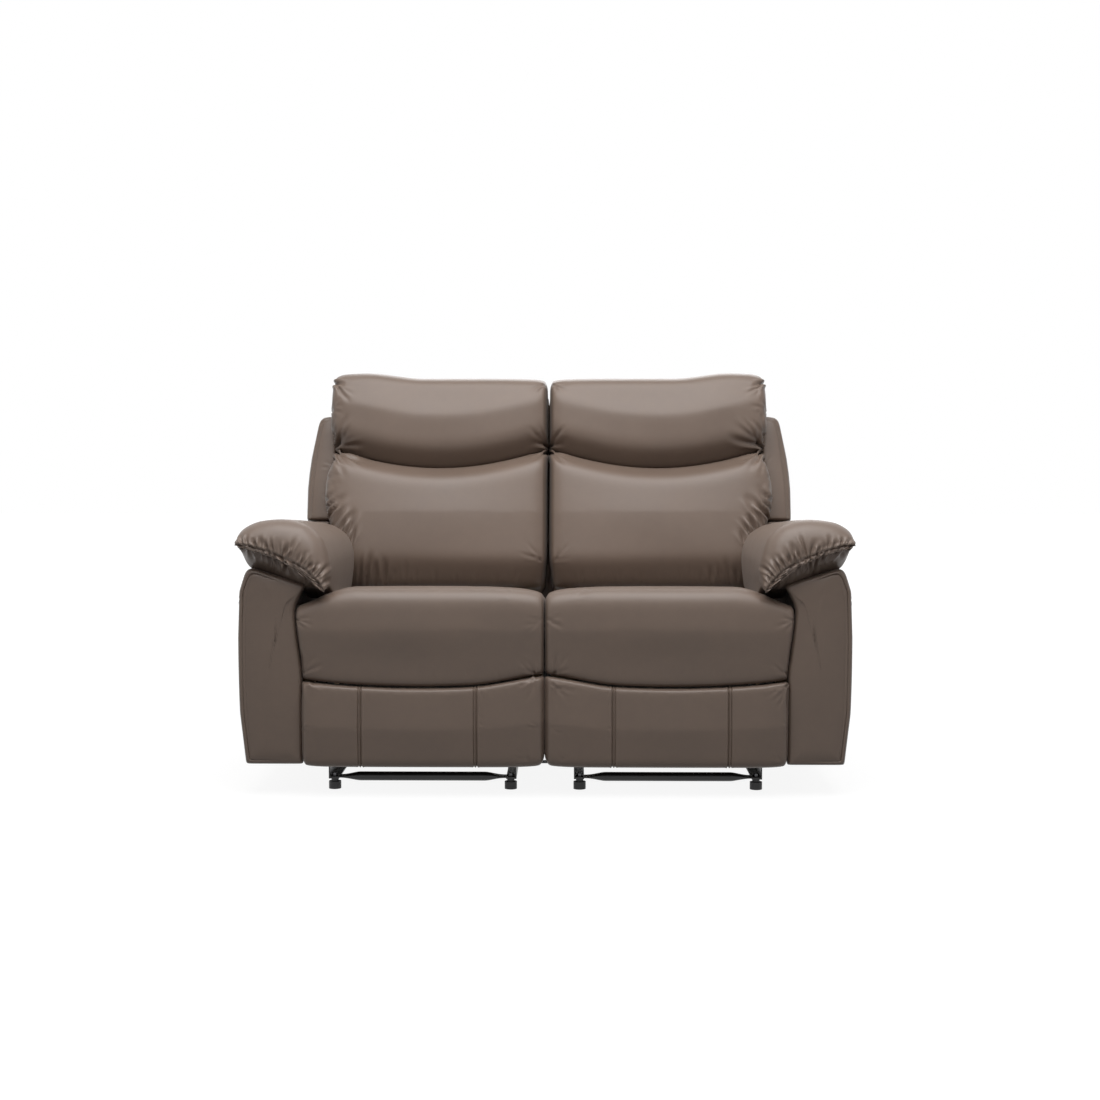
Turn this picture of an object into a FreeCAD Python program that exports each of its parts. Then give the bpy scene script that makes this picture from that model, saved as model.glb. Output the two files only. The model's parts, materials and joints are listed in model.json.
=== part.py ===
import FreeCAD, Part
import math
import os
import re
import Sketcher

# Two-seat reclining loveseat, millimetres. X to the right, Y to the back, Z up; the origin is on
# the floor below the middle of the whole box. Every seat is the same set of pieces, mirrored.

Vector = FreeCAD.Vector
DEPTH_AXIS = Vector(0, 1, 0)
WIDTH_AXIS = Vector(1, 0, 0)

os.makedirs("parts", exist_ok=True)
doc = FreeCAD.newDocument("loveseat")
sheet = doc.addObject("Spreadsheet::Sheet", "sizes")

driving = {
    # whole seat
    "seatCentre": 299, "frontFace": 470,
    # base on the floor
    "railWeb": 229, "railSheet": 3, "railFoot": 25, "railTop": 62, "railFlange": 25,
    "railFront": 355, "railRear": 225, "footSetFront": 345, "footSetRear": 212, "footAcross": 215,
    "capWide": 30, "capTall": 18, "neckWide": 18, "studWide": 8, "studTall": 22,
    "nutWide": 14, "nutTall": 6, "boreTall": 20,
    "crossTube": 22, "crossWall": 1.5, "lugWide": 30, "lugTall": 4, "lugLap": 6, "lugOuter": 10.5,
    "tieWide": 30, "tieTall": 3, "tieLong": 190, "tieSet": 120,
    # pivots
    "pivotPin": 10, "pinPlay": 0.1, "pinProud": 0.7, "weldBite": 0.5, "overrun": 1,
    "linkHalf": 10, "linkSheet": 3.5, "linkTip": 9.99, "plateRound": 8, "linkRound": 6,
    "plateLayer": 252, "frontLayer": 247, "mainLayer": 242, "rearLayer": 237, "guideLayer": 232,
    "swingLayer": 233, "swingPivotFront": 150, "swingPivotRear": 150, "swingPivotTall": 44,
    "swingLong": 120, "swingLean": 25, "swingTravel": 50,
    # footrest linkage
    "drivePivotOut": 354, "drivePivotTall": 240, "driveLong": 130, "driveShut": 264, "driveTurn": 100,
    "mainLong": 151, "mainShut": 70, "mainTurn": 34, "mainTailBack": 21, "mainTailUp": 25,
    "rearPivotSet": 106, "guideRootSet": 86, "footrestTurn": 86,
    "guidePinBack": 40, "guidePinDown": 31, "mainShoulder": 22,
    "boardHalf": 270, "boardFront": 417.5, "boardThick": 13, "boardLow": 84, "boardTall": 168,
    "bracketLow": 120, "bracketTop": 263, "bracketFoot": 390, "flangeWide": 25, "flangeTall": 132,
    # seat box and cushion
    "sideRailIn": 255.5, "sideRailThick": 29.5, "sideRailLow": 200, "seatRailTop": 345,
    "seatBoxFront": 400, "seatBoxRear": 200, "crossRailThick": 28, "crossRailLow": 275,
    "packerFront": 300, "packerRear": 100, "packerLow": 220, "packerTall": 80,
    "springWire": 4, "springCount": 5, "springSpacing": 92, "springTurns": 12, "springSwing": 16,
    "springBend": 8, "springFront": 388, "springRear": 158, "springLift": 2,
    "valanceDepth": 300, "valanceThick": 12, "valanceLow": 80, "valanceTall": 222,
    "valanceArmIn": 270, "valanceArmThick": 15, "valanceArmLong": 100, "valanceArmTall": 80,
    "cushionHalf": 296.5, "cushionLow": 351, "cushionRear": 88, "cushionSink": 434,
    "noseRear": 404, "noseLow": 262, "noseTop": 500, "noseShoulder": 492,
    "padRear": 418, "padLow": 70, "padTop": 254,
    # back
    "hingeBehind": 218, "hingeTall": 365, "hingePin": 12, "backLean": 14, "backTurn": 35,
    "backFootRear": 338, "backFootTall": 450, "backShell": 25, "backFrameFront": 70,
    "backPostIn": 215, "backPostOut": 247, "backPostLow": 40, "backPostTall": 560,
    "bandThick": 2, "bandWide": 50, "shellLow": 118, "shellTop": 546, "hingeEar": 18,
    "backHalf": 292, "cushionGap": 2.5, "lumbarDeep": 252, "lumbarLow": 54,
    "headDeep": 222, "headTop": 545, "headWrap": 522, "seamTall": 286, "seamRise": 34,
    "wingDeep": 132, "wingSweep": 276, "armSweep": 270,
    # arms
    "armIn": 600, "armOut": 728, "armFront": 440, "armRear": 400, "armLow": 75,
    "armTopIn": 494, "armTopOut": 545, "cavityIn": 612, "cavityWide": 96, "cavityTop": 474,
    "cavityEnd": 14, "postWide": 66, "postIn": 28, "boardSheet": 18, "armBoardTall": 390,
    "armPadRear": 204, "padFall": 45, "padInset": 88, "insetFrom": 20, "insetOver": 70,
    "cupRear": 195, "cupLong": 110, "cupLow": 375, "cupTall": 90, "cupDeep": 34, "cupWall": 3,
    "cupFace": 730, "cupRim": 8, "paddleLong": 70, "paddleThick": 5, "paddlePin": 6,
    "cableThick": 5, "cableRoom": 3, "cableTall": 300, "cableDepth": 250, "cableBend": 45,
}
for row, (alias, number) in enumerate(driving.items(), start=1):
    sheet.set(f"A{row}", alias)
    sheet.set(f"B{row}", str(number))
    sheet.setAlias(f"B{row}", alias)
doc.recompute()
size = {alias: float(sheet.get(alias)) for alias in driving}


def bound(expression):
    # A formula with the sheet's words becomes one that the document can evaluate.
    return re.sub(r"[A-Za-z]\w*", lambda word: "sizes." + word.group(0), str(expression))


def side_name(side):
    return "left" if side < 0 else "right"


def mirrored_x(side, low, wide):
    # The lower x of something that spans low to low + wide on the right-hand seat.
    return f"{low}" if side > 0 else f"0 - ({low}) - ({wide})"


def solid_box(name, side, corner, spans):
    box = doc.addObject("Part::Box", name)
    for prop, span in zip(("Length", "Width", "Height"), spans):
        box.setExpression(prop, bound(span))
    places = (mirrored_x(side, corner[0], spans[0]), corner[1], corner[2])
    for axis, place in zip("xyz", places):
        box.setExpression("Placement.Base." + axis, bound(place))
    return box


def rod_along_x(name, side, low, wide, depth, tall, across):
    rod = doc.addObject("Part::Cylinder", name)
    rod.Placement = FreeCAD.Placement(Vector(0, 0, 0), FreeCAD.Rotation(DEPTH_AXIS, 90))
    rod.setExpression("Radius", bound(f"({across}) / 2"))
    rod.setExpression("Height", bound(wide))
    for axis, place in zip("xyz", (mirrored_x(side, low, wide), depth, tall)):
        rod.setExpression("Placement.Base." + axis, bound(place))
    return rod


def upright(name, across, depth, low, tall, wide):
    rod = doc.addObject("Part::Cylinder", name)
    rod.setExpression("Radius", bound(f"({wide}) / 2"))
    rod.setExpression("Height", bound(tall))
    for axis, place in zip("xyz", (across, depth, low)):
        rod.setExpression("Placement.Base." + axis, bound(place))
    return rod


def fused(name, shapes):
    whole = doc.addObject("Part::MultiFuse", name)
    whole.Shapes = shapes
    return whole


def cut(name, base, tool):
    whole = doc.addObject("Part::Cut", name)
    whole.Base = base
    whole.Tool = tool
    return whole


def group(name, links):
    whole = doc.addObject("Part::Compound", name)
    whole.Links = links
    return whole


def shaped(name, shape):
    piece = doc.addObject("Part::Feature", name)
    piece.Shape = shape
    return piece


parts = {}


def keep(node, piece):
    piece.Label = node
    parts[node] = piece


# Sheet-metal pieces lie in planes of constant x. Their points are (depth, height).

def rounded_edges(points, radii, place):
    # Straight edges joined by arcs; place() puts a (depth, height) pair in space.
    # An arc takes at most 0.48 of the shorter edge beside it.
    edges = []
    count = len(points)
    starts, ends, middles = [], [], []
    for i, point in enumerate(points):
        here = Vector(point[0], point[1], 0)
        before = Vector(*points[i - 1], 0) - here
        after = Vector(*points[(i + 1) % count], 0) - here
        half = before.getAngle(after) / 2
        reach = min(radii[i] / math.tan(half), 0.48 * min(before.Length, after.Length))
        radius = reach * math.tan(half)
        bisector = before.normalize() + after.normalize()
        centre = here + bisector.normalize() * (radius / math.sin(half))
        starts.append(here + before * reach)
        ends.append(here + after * reach)
        middles.append(centre + (here - centre).normalize() * radius)
    for i in range(count):
        edges.append(Part.Arc(place(starts[i]), place(middles[i]), place(ends[i])))
        edges.append(Part.LineSegment(place(ends[i]), place(starts[(i + 1) % count])))
    return edges


def plate(name, outline, radius, holes, hole_across, thick, across):
    # One flat plate: a sketch on the body's own YZ plane, padded along +x from across.
    body = doc.addObject("PartDesign::Body", name)
    sketch = body.newObject("Sketcher::SketchObject", name + "_outline")
    plane = [part for part in body.Origin.OriginFeatures if part.Role == "YZ_Plane"][0]
    sketch.AttachmentSupport = [(plane, "")]
    sketch.MapMode = "FlatFace"
    for edge in rounded_edges(outline, [radius] * len(outline), lambda point: point):
        sketch.addGeometry(edge, False)
    for hole in holes:
        circle = Part.Circle(Vector(hole[0], hole[1], 0), Vector(0, 0, 1), 1)
        index = sketch.addGeometry(circle, False)
        bore = sketch.addConstraint(Sketcher.Constraint("Radius", index, 1))
        sketch.setExpression(f"Constraints[{bore}]", bound(f"({hole_across}) / 2"))
        for kind, value in (("DistanceX", hole[0]), ("DistanceY", hole[1])):
            sketch.addConstraint(Sketcher.Constraint(kind, -1, 1, index, 3, value))
    pad = body.newObject("PartDesign::Pad", name + "_thickness")
    pad.Profile = sketch
    pad.setExpression("Length", bound(thick))
    body.Tip = pad
    body.setExpression("Placement.Base.x", bound(across))
    return body


def link_outline(first, second, half):
    # The four corners of a straight link around two holes; rounding them by half makes its round ends.
    along = Vector(second[0] - first[0], second[1] - first[1], 0).normalize()
    over = Vector(-along.y, along.x, 0)
    a, b = Vector(*first, 0) - along * half, Vector(*second, 0) + along * half
    corners = (a - over * half, b - over * half, b + over * half, a + over * half)
    return [(corner.x, corner.y) for corner in corners]


def in_pair(side, layer, thick):
    # A seat has each plate twice, mirrored about the seat's centre.
    centre = f"{side} * seatCentre"
    return [f"{centre} + {layer}", f"{centre} - {layer} - {thick}"]


def pins_in_pair(name, side, low, high, points, across):
    rods = []
    for half, sign in (("out", 1), ("in", -1)):
        for number, (depth, tall) in enumerate(points):
            rod = doc.addObject("Part::Cylinder", f"{name}_{half}_{number}")
            rod.Placement = FreeCAD.Placement(Vector(0, depth, tall), FreeCAD.Rotation(DEPTH_AXIS, 90))
            rod.setExpression("Radius", bound(f"({across}) / 2"))
            rod.setExpression("Height", bound(f"{high} - ({low})"))
            start = f"{side} * seatCentre + {low}" if sign > 0 else f"{side} * seatCentre - ({high})"
            rod.setExpression("Placement.Base.x", bound(start))
            rods.append(rod)
    return rods


def plates_with_pins(node, side, outline, radius, holes, layer, pins, low, high, across="pivotPin"):
    plates = []
    rods = pins_in_pair(node + "_pin", side, low, high, pins, across) if pins else []
    for half, place in zip(("out", "in"), in_pair(side, layer, "linkSheet")):
        leaf = plate(f"{node}_{half}", outline, radius, holes, "pivotPin + pinPlay", "linkSheet", place)
        mine = [rod for rod in rods if f"_{half}_" in rod.Name]
        plates.append(fused(f"{node}_{half}_riveted", [leaf] + mine) if mine else leaf)
    keep(node, group(node + "_pair", plates))


# Linkage geometry, worked out from the driving sizes. Points are (out, tall) with out = -depth.

def polar(length, degrees):
    return Vector(length * math.cos(math.radians(degrees)), length * math.sin(math.radians(degrees)), 0)


def turned(vector, degrees):
    return FreeCAD.Rotation(Vector(0, 0, 1), degrees).multVec(vector)


def pivot_between(shut, opened, offset):
    # The pivot whose link reaches both places, offset along their bisector.
    step = opened - shut
    return (shut + opened) / 2 + Vector(-step.y, step.x, 0).normalize() * offset


def yz(point):
    return (-point.x, point.y)


drive_pivot = Vector(size["drivePivotOut"], size["drivePivotTall"], 0)
drive_shut, main_shut = size["driveShut"], size["mainShut"]
drive_end = drive_pivot + polar(size["driveLong"], drive_shut)
footrest_pivot = drive_end + polar(size["mainLong"], main_shut)
main_tail_arm = Vector(-size["mainTailBack"], size["mainTailUp"], 0)
main_tail = drive_end + turned(main_tail_arm, main_shut)
guide_pin_arm = Vector(-size["guidePinBack"], -size["guidePinDown"], 0)
guide_pin = footrest_pivot + guide_pin_arm
drive_end_open = drive_pivot + polar(size["driveLong"], drive_shut + size["driveTurn"])
main_open = main_shut - size["mainTurn"]
footrest_open = drive_end_open + polar(size["mainLong"], main_open)
main_tail_open = drive_end_open + turned(main_tail_arm, main_open)
guide_pin_open = footrest_open + turned(guide_pin_arm, size["footrestTurn"])
rear_pivot = pivot_between(main_tail, main_tail_open, size["rearPivotSet"])


def heading(start, end):
    return math.degrees(math.atan2(end.y - start.y, end.x - start.x))


rear_shut = heading(rear_pivot, main_tail) % 360
rear_turn = (heading(rear_pivot, main_tail_open) - rear_shut) % 360
pin_seen = turned(guide_pin - rear_pivot, -rear_shut)
pin_seen_open = turned(guide_pin_open - rear_pivot, -rear_shut - rear_turn)
guide_root_arm = pivot_between(pin_seen, pin_seen_open, -size["guideRootSet"])
guide_root = rear_pivot + turned(guide_root_arm, rear_shut)
guide_root_open = rear_pivot + turned(guide_root_arm, rear_shut + rear_turn)
guide_shut = heading(guide_root, guide_pin)
guide_turn = heading(guide_root_open, guide_pin_open) - guide_shut
swing_arm = Vector(-size["swingLong"] * math.sin(math.radians(size["swingLean"])),
                   size["swingLong"] * math.cos(math.radians(size["swingLean"])), 0)
swing_front_foot = Vector(size["swingPivotFront"], size["swingPivotTall"], 0)
swing_rear_foot = Vector(-size["swingPivotRear"], size["swingPivotTall"], 0)
swing_front_head = swing_front_foot + swing_arm
swing_rear_head = swing_rear_foot + swing_arm
hinge = Vector(-size["hingeBehind"], size["hingeTall"], 0)
for word, point in (("drive pivot", drive_pivot), ("drive end", drive_end), ("footrest", footrest_pivot),
                    ("main tail", main_tail), ("rear pivot", rear_pivot), ("guide root", guide_root),
                    ("guide pin", guide_pin), ("swing front head", swing_front_head),
                    ("swing rear head", swing_rear_head)):
    print(f"{word}: depth {-point.x:.3f} height {point.y:.3f}")
print(f"turns: swing {size['swingTravel']} back {size['backTurn']}")
print(f"turns: rear link {rear_turn:.4f} guide link {guide_turn:.4f}")


# Base

def base_rails():
    rails, tubes, caps, nuts, ties = [], [], [], [], []
    for side in (-1, 1):
        for hand in (-1, 1):
            tag = f"{side_name(side)}_{'out' if hand > 0 else 'in'}"
            centre = f"{side} * seatCentre"
            web = f"{centre} + railWeb - railSheet" if hand > 0 else f"{centre} - railWeb"
            flange = f"{centre} + railWeb - railFlange" if hand > 0 else f"{centre} - railWeb"
            span = "railFront + railRear"
            upright_web = solid_box("web_" + tag, 1, (web, "0 - railFront", "railFoot"),
                                    ("railSheet", span, "railTop - railFoot"))
            flat_flange = solid_box("flange_" + tag, 1, (flange, "0 - railFront", "railFoot"),
                                    ("railFlange", span, "railSheet"))
            studs = []
            for word, foot in (("front", swing_front_foot), ("rear", swing_rear_foot)):
                low = (f"{centre} + railWeb - weldBite" if hand > 0
                       else f"{centre} - swingLayer - linkSheet - pinProud")
                studs.append(rod_along_x(f"stud_{word}_{tag}", 1, low,
                                         "swingLayer + linkSheet + pinProud + weldBite - railWeb",
                                         -foot.x, foot.y, "pivotPin"))
            holes = []
            for word, place in (("front", "0 - footSetFront"), ("rear", "footSetRear")):
                middle = f"{centre} + {hand} * footAcross"
                holes.append(upright(f"flange_hole_{word}_{tag}", middle, place,
                                     "railFoot - overrun", "railSheet + 2 * overrun",
                                     "studWide + pinPlay"))
                cap = upright(f"cap_{word}_{tag}", middle, place, "0", "capTall", "capWide")
                neck = upright(f"neck_{word}_{tag}", middle, place, "capTall", "railFoot - capTall",
                               "neckWide")
                stud = upright(f"foot_stud_{word}_{tag}", middle, place, "capTall", "studTall",
                               "studWide")
                caps.append(fused(f"foot_{word}_{tag}", [cap, neck, stud]))
                nut = doc.addObject("Part::Prism", f"nut_body_{word}_{tag}")
                nut.Polygon = 6
                nut.setExpression("Circumradius", bound("nutWide / 2"))
                nut.setExpression("Height", bound("nutTall"))
                nut.setExpression("Placement.Base.x", bound(middle))
                nut.setExpression("Placement.Base.y", bound(place))
                nut.setExpression("Placement.Base.z", bound("railFoot + railSheet + lugTall"))
                bore = upright(f"nut_bore_{word}_{tag}", middle, place, "railFoot", "boreTall",
                               "studWide + pinPlay")
                nuts.append(cut(f"nut_{word}_{tag}", nut, bore))
            body = fused("rail_body_" + tag, [upright_web, flat_flange] + studs)
            rails.append(cut("rail_" + tag, body, fused("flange_holes_" + tag, holes)))
        for word, place in (("front", "0 - footSetFront"), ("rear", "footSetRear")):
            tag = f"{word}_{side_name(side)}"
            half = "footAcross - lugWide / 2"
            pipe = rod_along_x("pipe_" + tag, 1, f"{side} * seatCentre - ({half})", f"2 * ({half})",
                               place, "railFoot + railSheet + lugTall / 2", "crossTube")
            bore = rod_along_x("pipe_bore_" + tag, 1, f"{side} * seatCentre - ({half}) - overrun",
                               f"2 * ({half}) + 2 * overrun", place, "railFoot + railSheet + lugTall / 2",
                               "crossTube - 2 * crossWall")
            lugs, holes = [], []
            for hand in (-1, 1):
                middle = f"{side} * seatCentre + {hand} * footAcross"
                start = f"{middle} - lugWide / 2 - lugLap" if hand > 0 else f"{middle} - lugOuter"
                lugs.append(solid_box(f"lug_{tag}_{hand + 1}", 1,
                                      (start, f"{place} - lugWide / 2", "railFoot + railSheet"),
                                      ("lugWide / 2 + lugLap + lugOuter", "lugWide", "lugTall")))
                holes.append(upright(f"lug_hole_{tag}_{hand + 1}", middle, place, "railFoot",
                                     "boreTall", "studWide + pinPlay"))
            open_pipe = cut("open_pipe_" + tag, pipe, bore)
            joined = fused("tube_body_" + tag, [open_pipe] + lugs)
            tubes.append(cut("tube_" + tag, joined, fused("lug_holes_" + tag, holes)))
    for word, place in (("front", "0 - tieSet - tieWide / 2"), ("rear", "tieSet - tieWide / 2")):
        ties.append(solid_box("tie_" + word, 1, ("0 - tieLong / 2", place, "railFoot - tieTall"),
                              ("tieLong", "tieWide", "tieTall")))
    keep("base_side_rails", group("rails", rails))
    keep("base_cross_tubes", group("tubes", tubes))
    keep("base_feet", group("feet", caps))
    keep("base_foot_nuts", group("nuts", nuts))
    keep("base_tie_bars", group("ties", ties))


# Seat mechanism

# The mount plate from the side: its nose carries the drive link, two legs reach down to the swing
# links, the notch clears the rear cross rail and the ear behind it carries the recline hinge.
plate_nose = [(-300, 226), (-372, 222), (-372, 262), (-348, 340)]
plate_notch = [(168, 340), (168, 272), (202, 272), (202, 388)]
plate_ear = [(240, 388), (236, 330)]
plate_rear_leg = [(222, 138), (180, 138), (150, 228)]
plate_front_leg = [(-70, 228), (-80, 138), (-120, 138), (-140, 222)]


def mechanism(side):
    name = side_name(side)
    plate_outline = plate_nose + plate_notch + plate_ear + plate_rear_leg + plate_front_leg
    pins = [yz(drive_pivot), yz(rear_pivot)]
    halves = []
    rods = []
    for word, layer, places, across in (
            ("drive", "frontLayer", pins[:1], "pivotPin"), ("rear", "rearLayer", pins[1:], "pivotPin"),
            ("swing", "swingLayer", [yz(swing_front_head), yz(swing_rear_head)], "pivotPin"),
            ("back", "frontLayer", [yz(hinge)], "hingePin")):
        rods += pins_in_pair(f"{word}_pins_{name}", side, f"{layer} - pinProud", "plateLayer + linkSheet",
                             places, across)
    for half, place in zip(("out", "in"), in_pair(side, "plateLayer", "linkSheet")):
        leaf = plate(f"mount_plate_{name}_{half}", plate_outline, size["plateRound"], [], "pivotPin",
                     "linkSheet", place)
        mine = [rod for rod in rods if f"_{half}_" in rod.Name]
        halves.append(fused(f"mount_plate_{name}_{half}_riveted", [leaf] + mine))
    keep(f"mount_plates_{name}", group(f"mount_plates_{name}_pair", halves))

    half = size["linkHalf"]
    tip = size["linkTip"]
    for word, foot, head in (("front", swing_front_foot, swing_front_head),
                             ("rear", swing_rear_foot, swing_rear_head)):
        ends = [yz(foot), yz(head)]
        plates_with_pins(f"swing_{word}_links_{name}", side, link_outline(*ends, half), tip, ends,
                         "swingLayer", [], "", "")
    ends = [yz(drive_pivot), yz(drive_end)]
    plates_with_pins(f"ottoman_drive_links_{name}", side, link_outline(*ends, half), tip, ends[:1],
                     "frontLayer", ends[1:], "mainLayer - pinProud", "frontLayer + linkSheet")
    away = turned(Vector(0, 1, 0), main_shut)
    along = turned(Vector(1, 0, 0), main_shut)
    main_outline = [drive_end - away * half - along * half, footrest_pivot - away * half + along * half,
                    footrest_pivot + away * half + along * half,
                    drive_end + away * half + along * size["mainShoulder"],
                    main_tail + away * half + along * half, main_tail + away * half - along * half,
                    main_tail - along * half - away * 8]
    plates_with_pins(f"ottoman_main_links_{name}", side, [yz(point) for point in main_outline],
                     size["linkRound"], [yz(drive_end), yz(footrest_pivot)], "mainLayer", [], "", "")
    down = turned(Vector(1, 0, 0), rear_shut)
    over = turned(Vector(0, 1, 0), rear_shut)
    toward = (guide_root - main_tail).normalize()
    beside = Vector(-toward.y, toward.x, 0)
    rear_outline = [rear_pivot - down * half - over * half, rear_pivot - down * half + over * half,
                    main_tail + over * half + down * 4, guide_root + beside * half + toward * half,
                    guide_root - beside * half + toward * half, main_tail - over * half - down * 4]
    plates_with_pins(f"ottoman_rear_links_{name}", side, [yz(point) for point in rear_outline],
                     size["linkRound"] - 1, [yz(rear_pivot)], "rearLayer", [yz(guide_root)],
                     "guideLayer - pinProud", "rearLayer + linkSheet")
    ends = [yz(guide_root), yz(guide_pin)]
    plates_with_pins(f"ottoman_guide_links_{name}", side, link_outline(*ends, half), tip, ends[:1],
                     "guideLayer", [], "", "")
    board_rear = size["boardThick"] - size["boardFront"]
    bracket_top, bracket_low = size["bracketTop"], size["bracketLow"]
    bracket = [(board_rear, bracket_top), (board_rear, bracket_low), (-size["bracketFoot"], bracket_low),
               (-guide_pin.x + 10, guide_pin.y - 14), (-guide_pin.x + 10, guide_pin.y + 8),
               (-footrest_pivot.x + 12, bracket_top)]
    flanges = [solid_box(f"bracket_flange_{name}_{hand + 1}", 1,
                         (f"{side} * seatCentre + {low}", "boardThick - boardFront", "bracketLow"),
                         ("flangeWide", "linkSheet", "flangeTall"))
               for hand, low in ((1, "rearLayer + linkSheet - flangeWide"),
                                 (-1, "(0 - rearLayer - linkSheet)"))]
    pins = pins_in_pair(f"footrest_pins_{name}", side, "rearLayer + 0.2",
                        "mainLayer + linkSheet + pinProud", [yz(footrest_pivot)], "pivotPin")
    halves = []
    for half_name, place, flange in zip(("out", "in"), in_pair(side, "rearLayer", "linkSheet"), flanges):
        leaf = plate(f"footrest_bracket_{name}_{half_name}", bracket, size["plateRound"] / 2, [],
                     "pivotPin", "linkSheet", place)
        mine = [rod for rod in pins if f"_{half_name}_" in rod.Name]
        halves.append(fused(f"footrest_bracket_{name}_{half_name}_whole", [leaf, flange] + mine))
    keep(f"footrest_brackets_{name}", group(f"footrest_brackets_{name}_pair", halves))
    keep(f"footrest_board_{name}", solid_box(
        f"board_{name}", 1, (f"{side} * seatCentre - boardHalf", "0 - boardFront", "boardLow"),
        ("2 * boardHalf", "boardThick", "boardTall")))


# Seat box

def seat_box(side):
    name = side_name(side)
    rails = []
    for hand in (-1, 1):
        low = "sideRailIn" if hand > 0 else "0 - sideRailIn - sideRailThick"
        rails.append(solid_box(f"side_rail_{name}_{hand + 1}", 1,
                               (f"{side} * seatCentre + {low}", "0 - seatBoxFront", "sideRailLow"),
                               ("sideRailThick", "seatBoxFront + seatBoxRear",
                                "seatRailTop - sideRailLow")))
    for word, place in (("front", "0 - seatBoxFront"), ("rear", "seatBoxRear - crossRailThick")):
        rails.append(solid_box(f"cross_rail_{word}_{name}", 1,
                               (f"{side} * seatCentre - sideRailIn", place, "crossRailLow"),
                               ("2 * sideRailIn", "crossRailThick", "seatRailTop - crossRailLow")))
    for word, place in (("front", "0 - packerFront"), ("rear", "packerRear")):
        rails.append(solid_box(f"arm_packer_{word}_{name}", side,
                               ("seatCentre + sideRailIn + sideRailThick", place, "packerLow"),
                               ("armIn - seatCentre - sideRailIn - sideRailThick", "packerTall",
                                "packerTall")))
    whole = fused(f"seat_box_{name}", rails)
    hole = rod_along_x(f"cable_hole_{name}", side, "seatCentre + sideRailIn - overrun",
                       "armIn - seatCentre - sideRailIn + 2 * overrun",
                       "0 - cableDepth", "cableTall", "cableThick + cableRoom")
    keep(f"seat_frame_{name}", cut(f"seat_frame_{name}_bored", whole, hole))
    seat_springs(side)
    panel = solid_box(f"valance_panel_{name}", 1,
                      (f"{side} * seatCentre - backHalf", "valanceDepth", "valanceLow"),
                      ("2 * backHalf", "valanceThick", "valanceTall"))
    arms = [solid_box(f"valance_arm_{name}_{hand + 1}", 1,
                      (f"{side} * seatCentre + {low}", "seatBoxRear", "sideRailLow"),
                      ("valanceArmThick", "valanceArmLong", "valanceArmTall"))
            for hand, low in ((1, "valanceArmIn"), (-1, "(0 - valanceArmIn - valanceArmThick)"))]
    keep(f"rear_valance_{name}", fused(f"valance_{name}", [panel] + arms))


def seat_springs(side):
    # Sinuous wires from the front cross rail to the rear one.
    name = side_name(side)
    front, rear = -size["springFront"], size["springRear"]
    tall, wide = size["seatRailTop"] + size["springLift"], size["springSwing"]
    count, turns = int(size["springCount"]), int(size["springTurns"])
    step = (rear - front) / turns
    wires = []
    for number in range(count):
        across = side * size["seatCentre"] + (number - (count - 1) / 2) * size["springSpacing"]
        points = [Vector(across, front, tall)]
        for turn in range(turns):
            swing = wide if turn % 2 else -wide
            points += [Vector(across + swing, front + (turn + 0.25) * step, tall),
                       Vector(across + swing, front + (turn + 0.75) * step, tall)]
        points.append(Vector(across, rear, tall))
        wires.append(wire_along(points, size["springBend"], size["springWire"]))
    keep(f"seat_springs_{name}", shaped(f"springs_{name}", Part.makeCompound(wires)))


def wire_along(points, radius, across):
    # A bent wire: straight runs joined by tangent arcs of one radius.
    edges = []
    last = points[0]
    for i in range(1, len(points) - 1):
        back = (points[i - 1] - points[i]).normalize()
        ahead = (points[i + 1] - points[i]).normalize()
        half = back.getAngle(ahead) / 2
        reach = radius / math.tan(half)
        if reach < 0.01:
            continue
        start, end = points[i] + back * reach, points[i] + ahead * reach
        centre = points[i] + (back + ahead).normalize() * (radius / math.sin(half))
        middle = centre + (points[i] - centre).normalize() * radius
        edges += [Part.LineSegment(last, start).toShape(), Part.Arc(start, middle, end).toShape()]
        last = end
    edges.append(Part.LineSegment(last, points[-1]).toShape())
    path = Part.Wire(edges)
    ring = Part.Wire(Part.makeCircle(across / 2, points[0], points[1] - points[0]))
    return path.makePipeShell([ring], True, True)


# Soft pieces: lofts through rounded outlines

def outline_wire(points, radii, place):
    return Part.Wire([edge.toShape() for edge in rounded_edges(points, radii, place)])


def padded_loft(name, sections):
    return shaped(name, Part.makeLoft(sections, True, True))


def section_shares():
    # Places of the sections from -1 to 1, closer together towards the two ends.
    return [math.sin(math.radians(angle)) for angle in range(-90, 91, 15)]


def pull_in(share, power):
    # 0 over most of the width, rising to 1 at the ends as a rounded edge does.
    return 1 - max(0.0, 1 - abs(share) ** power) ** (1 / power)


def seat_cushion(side):
    # The slab and the nose in one: sections across the seat, fuller in the middle.
    name = side_name(side)
    rear, sink, shoulder = size["cushionRear"], size["cushionSink"], size["noseShoulder"]
    nose_rear, nose_top = size["noseRear"], size["noseTop"]
    sections = []
    for share in section_shares():
        end = pull_in(share, 5)
        crown = 1 - share * share
        front = -size["frontFace"] + 4 + 24 * end
        nose_low = size["noseLow"] + 14 * share * share + 12 * end
        low = size["cushionLow"] + 8 * end
        points = [(rear - 24 * end, low), (2 - nose_rear, low), (-nose_rear, nose_low + 8),
                  (front + 8, nose_low), (front, 400), (front + 14, nose_top - 22 * end),
                  (-330, shoulder + 4 * crown - 24 * end), (rear - 24 * end, sink + 8 * crown - 24 * end)]
        radii = [12, 3, 8, 22, 90, 34, 60, 18]
        sections.append(section_across(side, share * size["cushionHalf"], points, radii))
    keep(f"seat_cushion_{name}", padded_loft(f"cushion_{name}", sections))


def section_across(side, across, points, radii):
    x = side * size["seatCentre"] + across
    return outline_wire(points, radii, lambda point: Vector(x, point.x, point.y))


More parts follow.
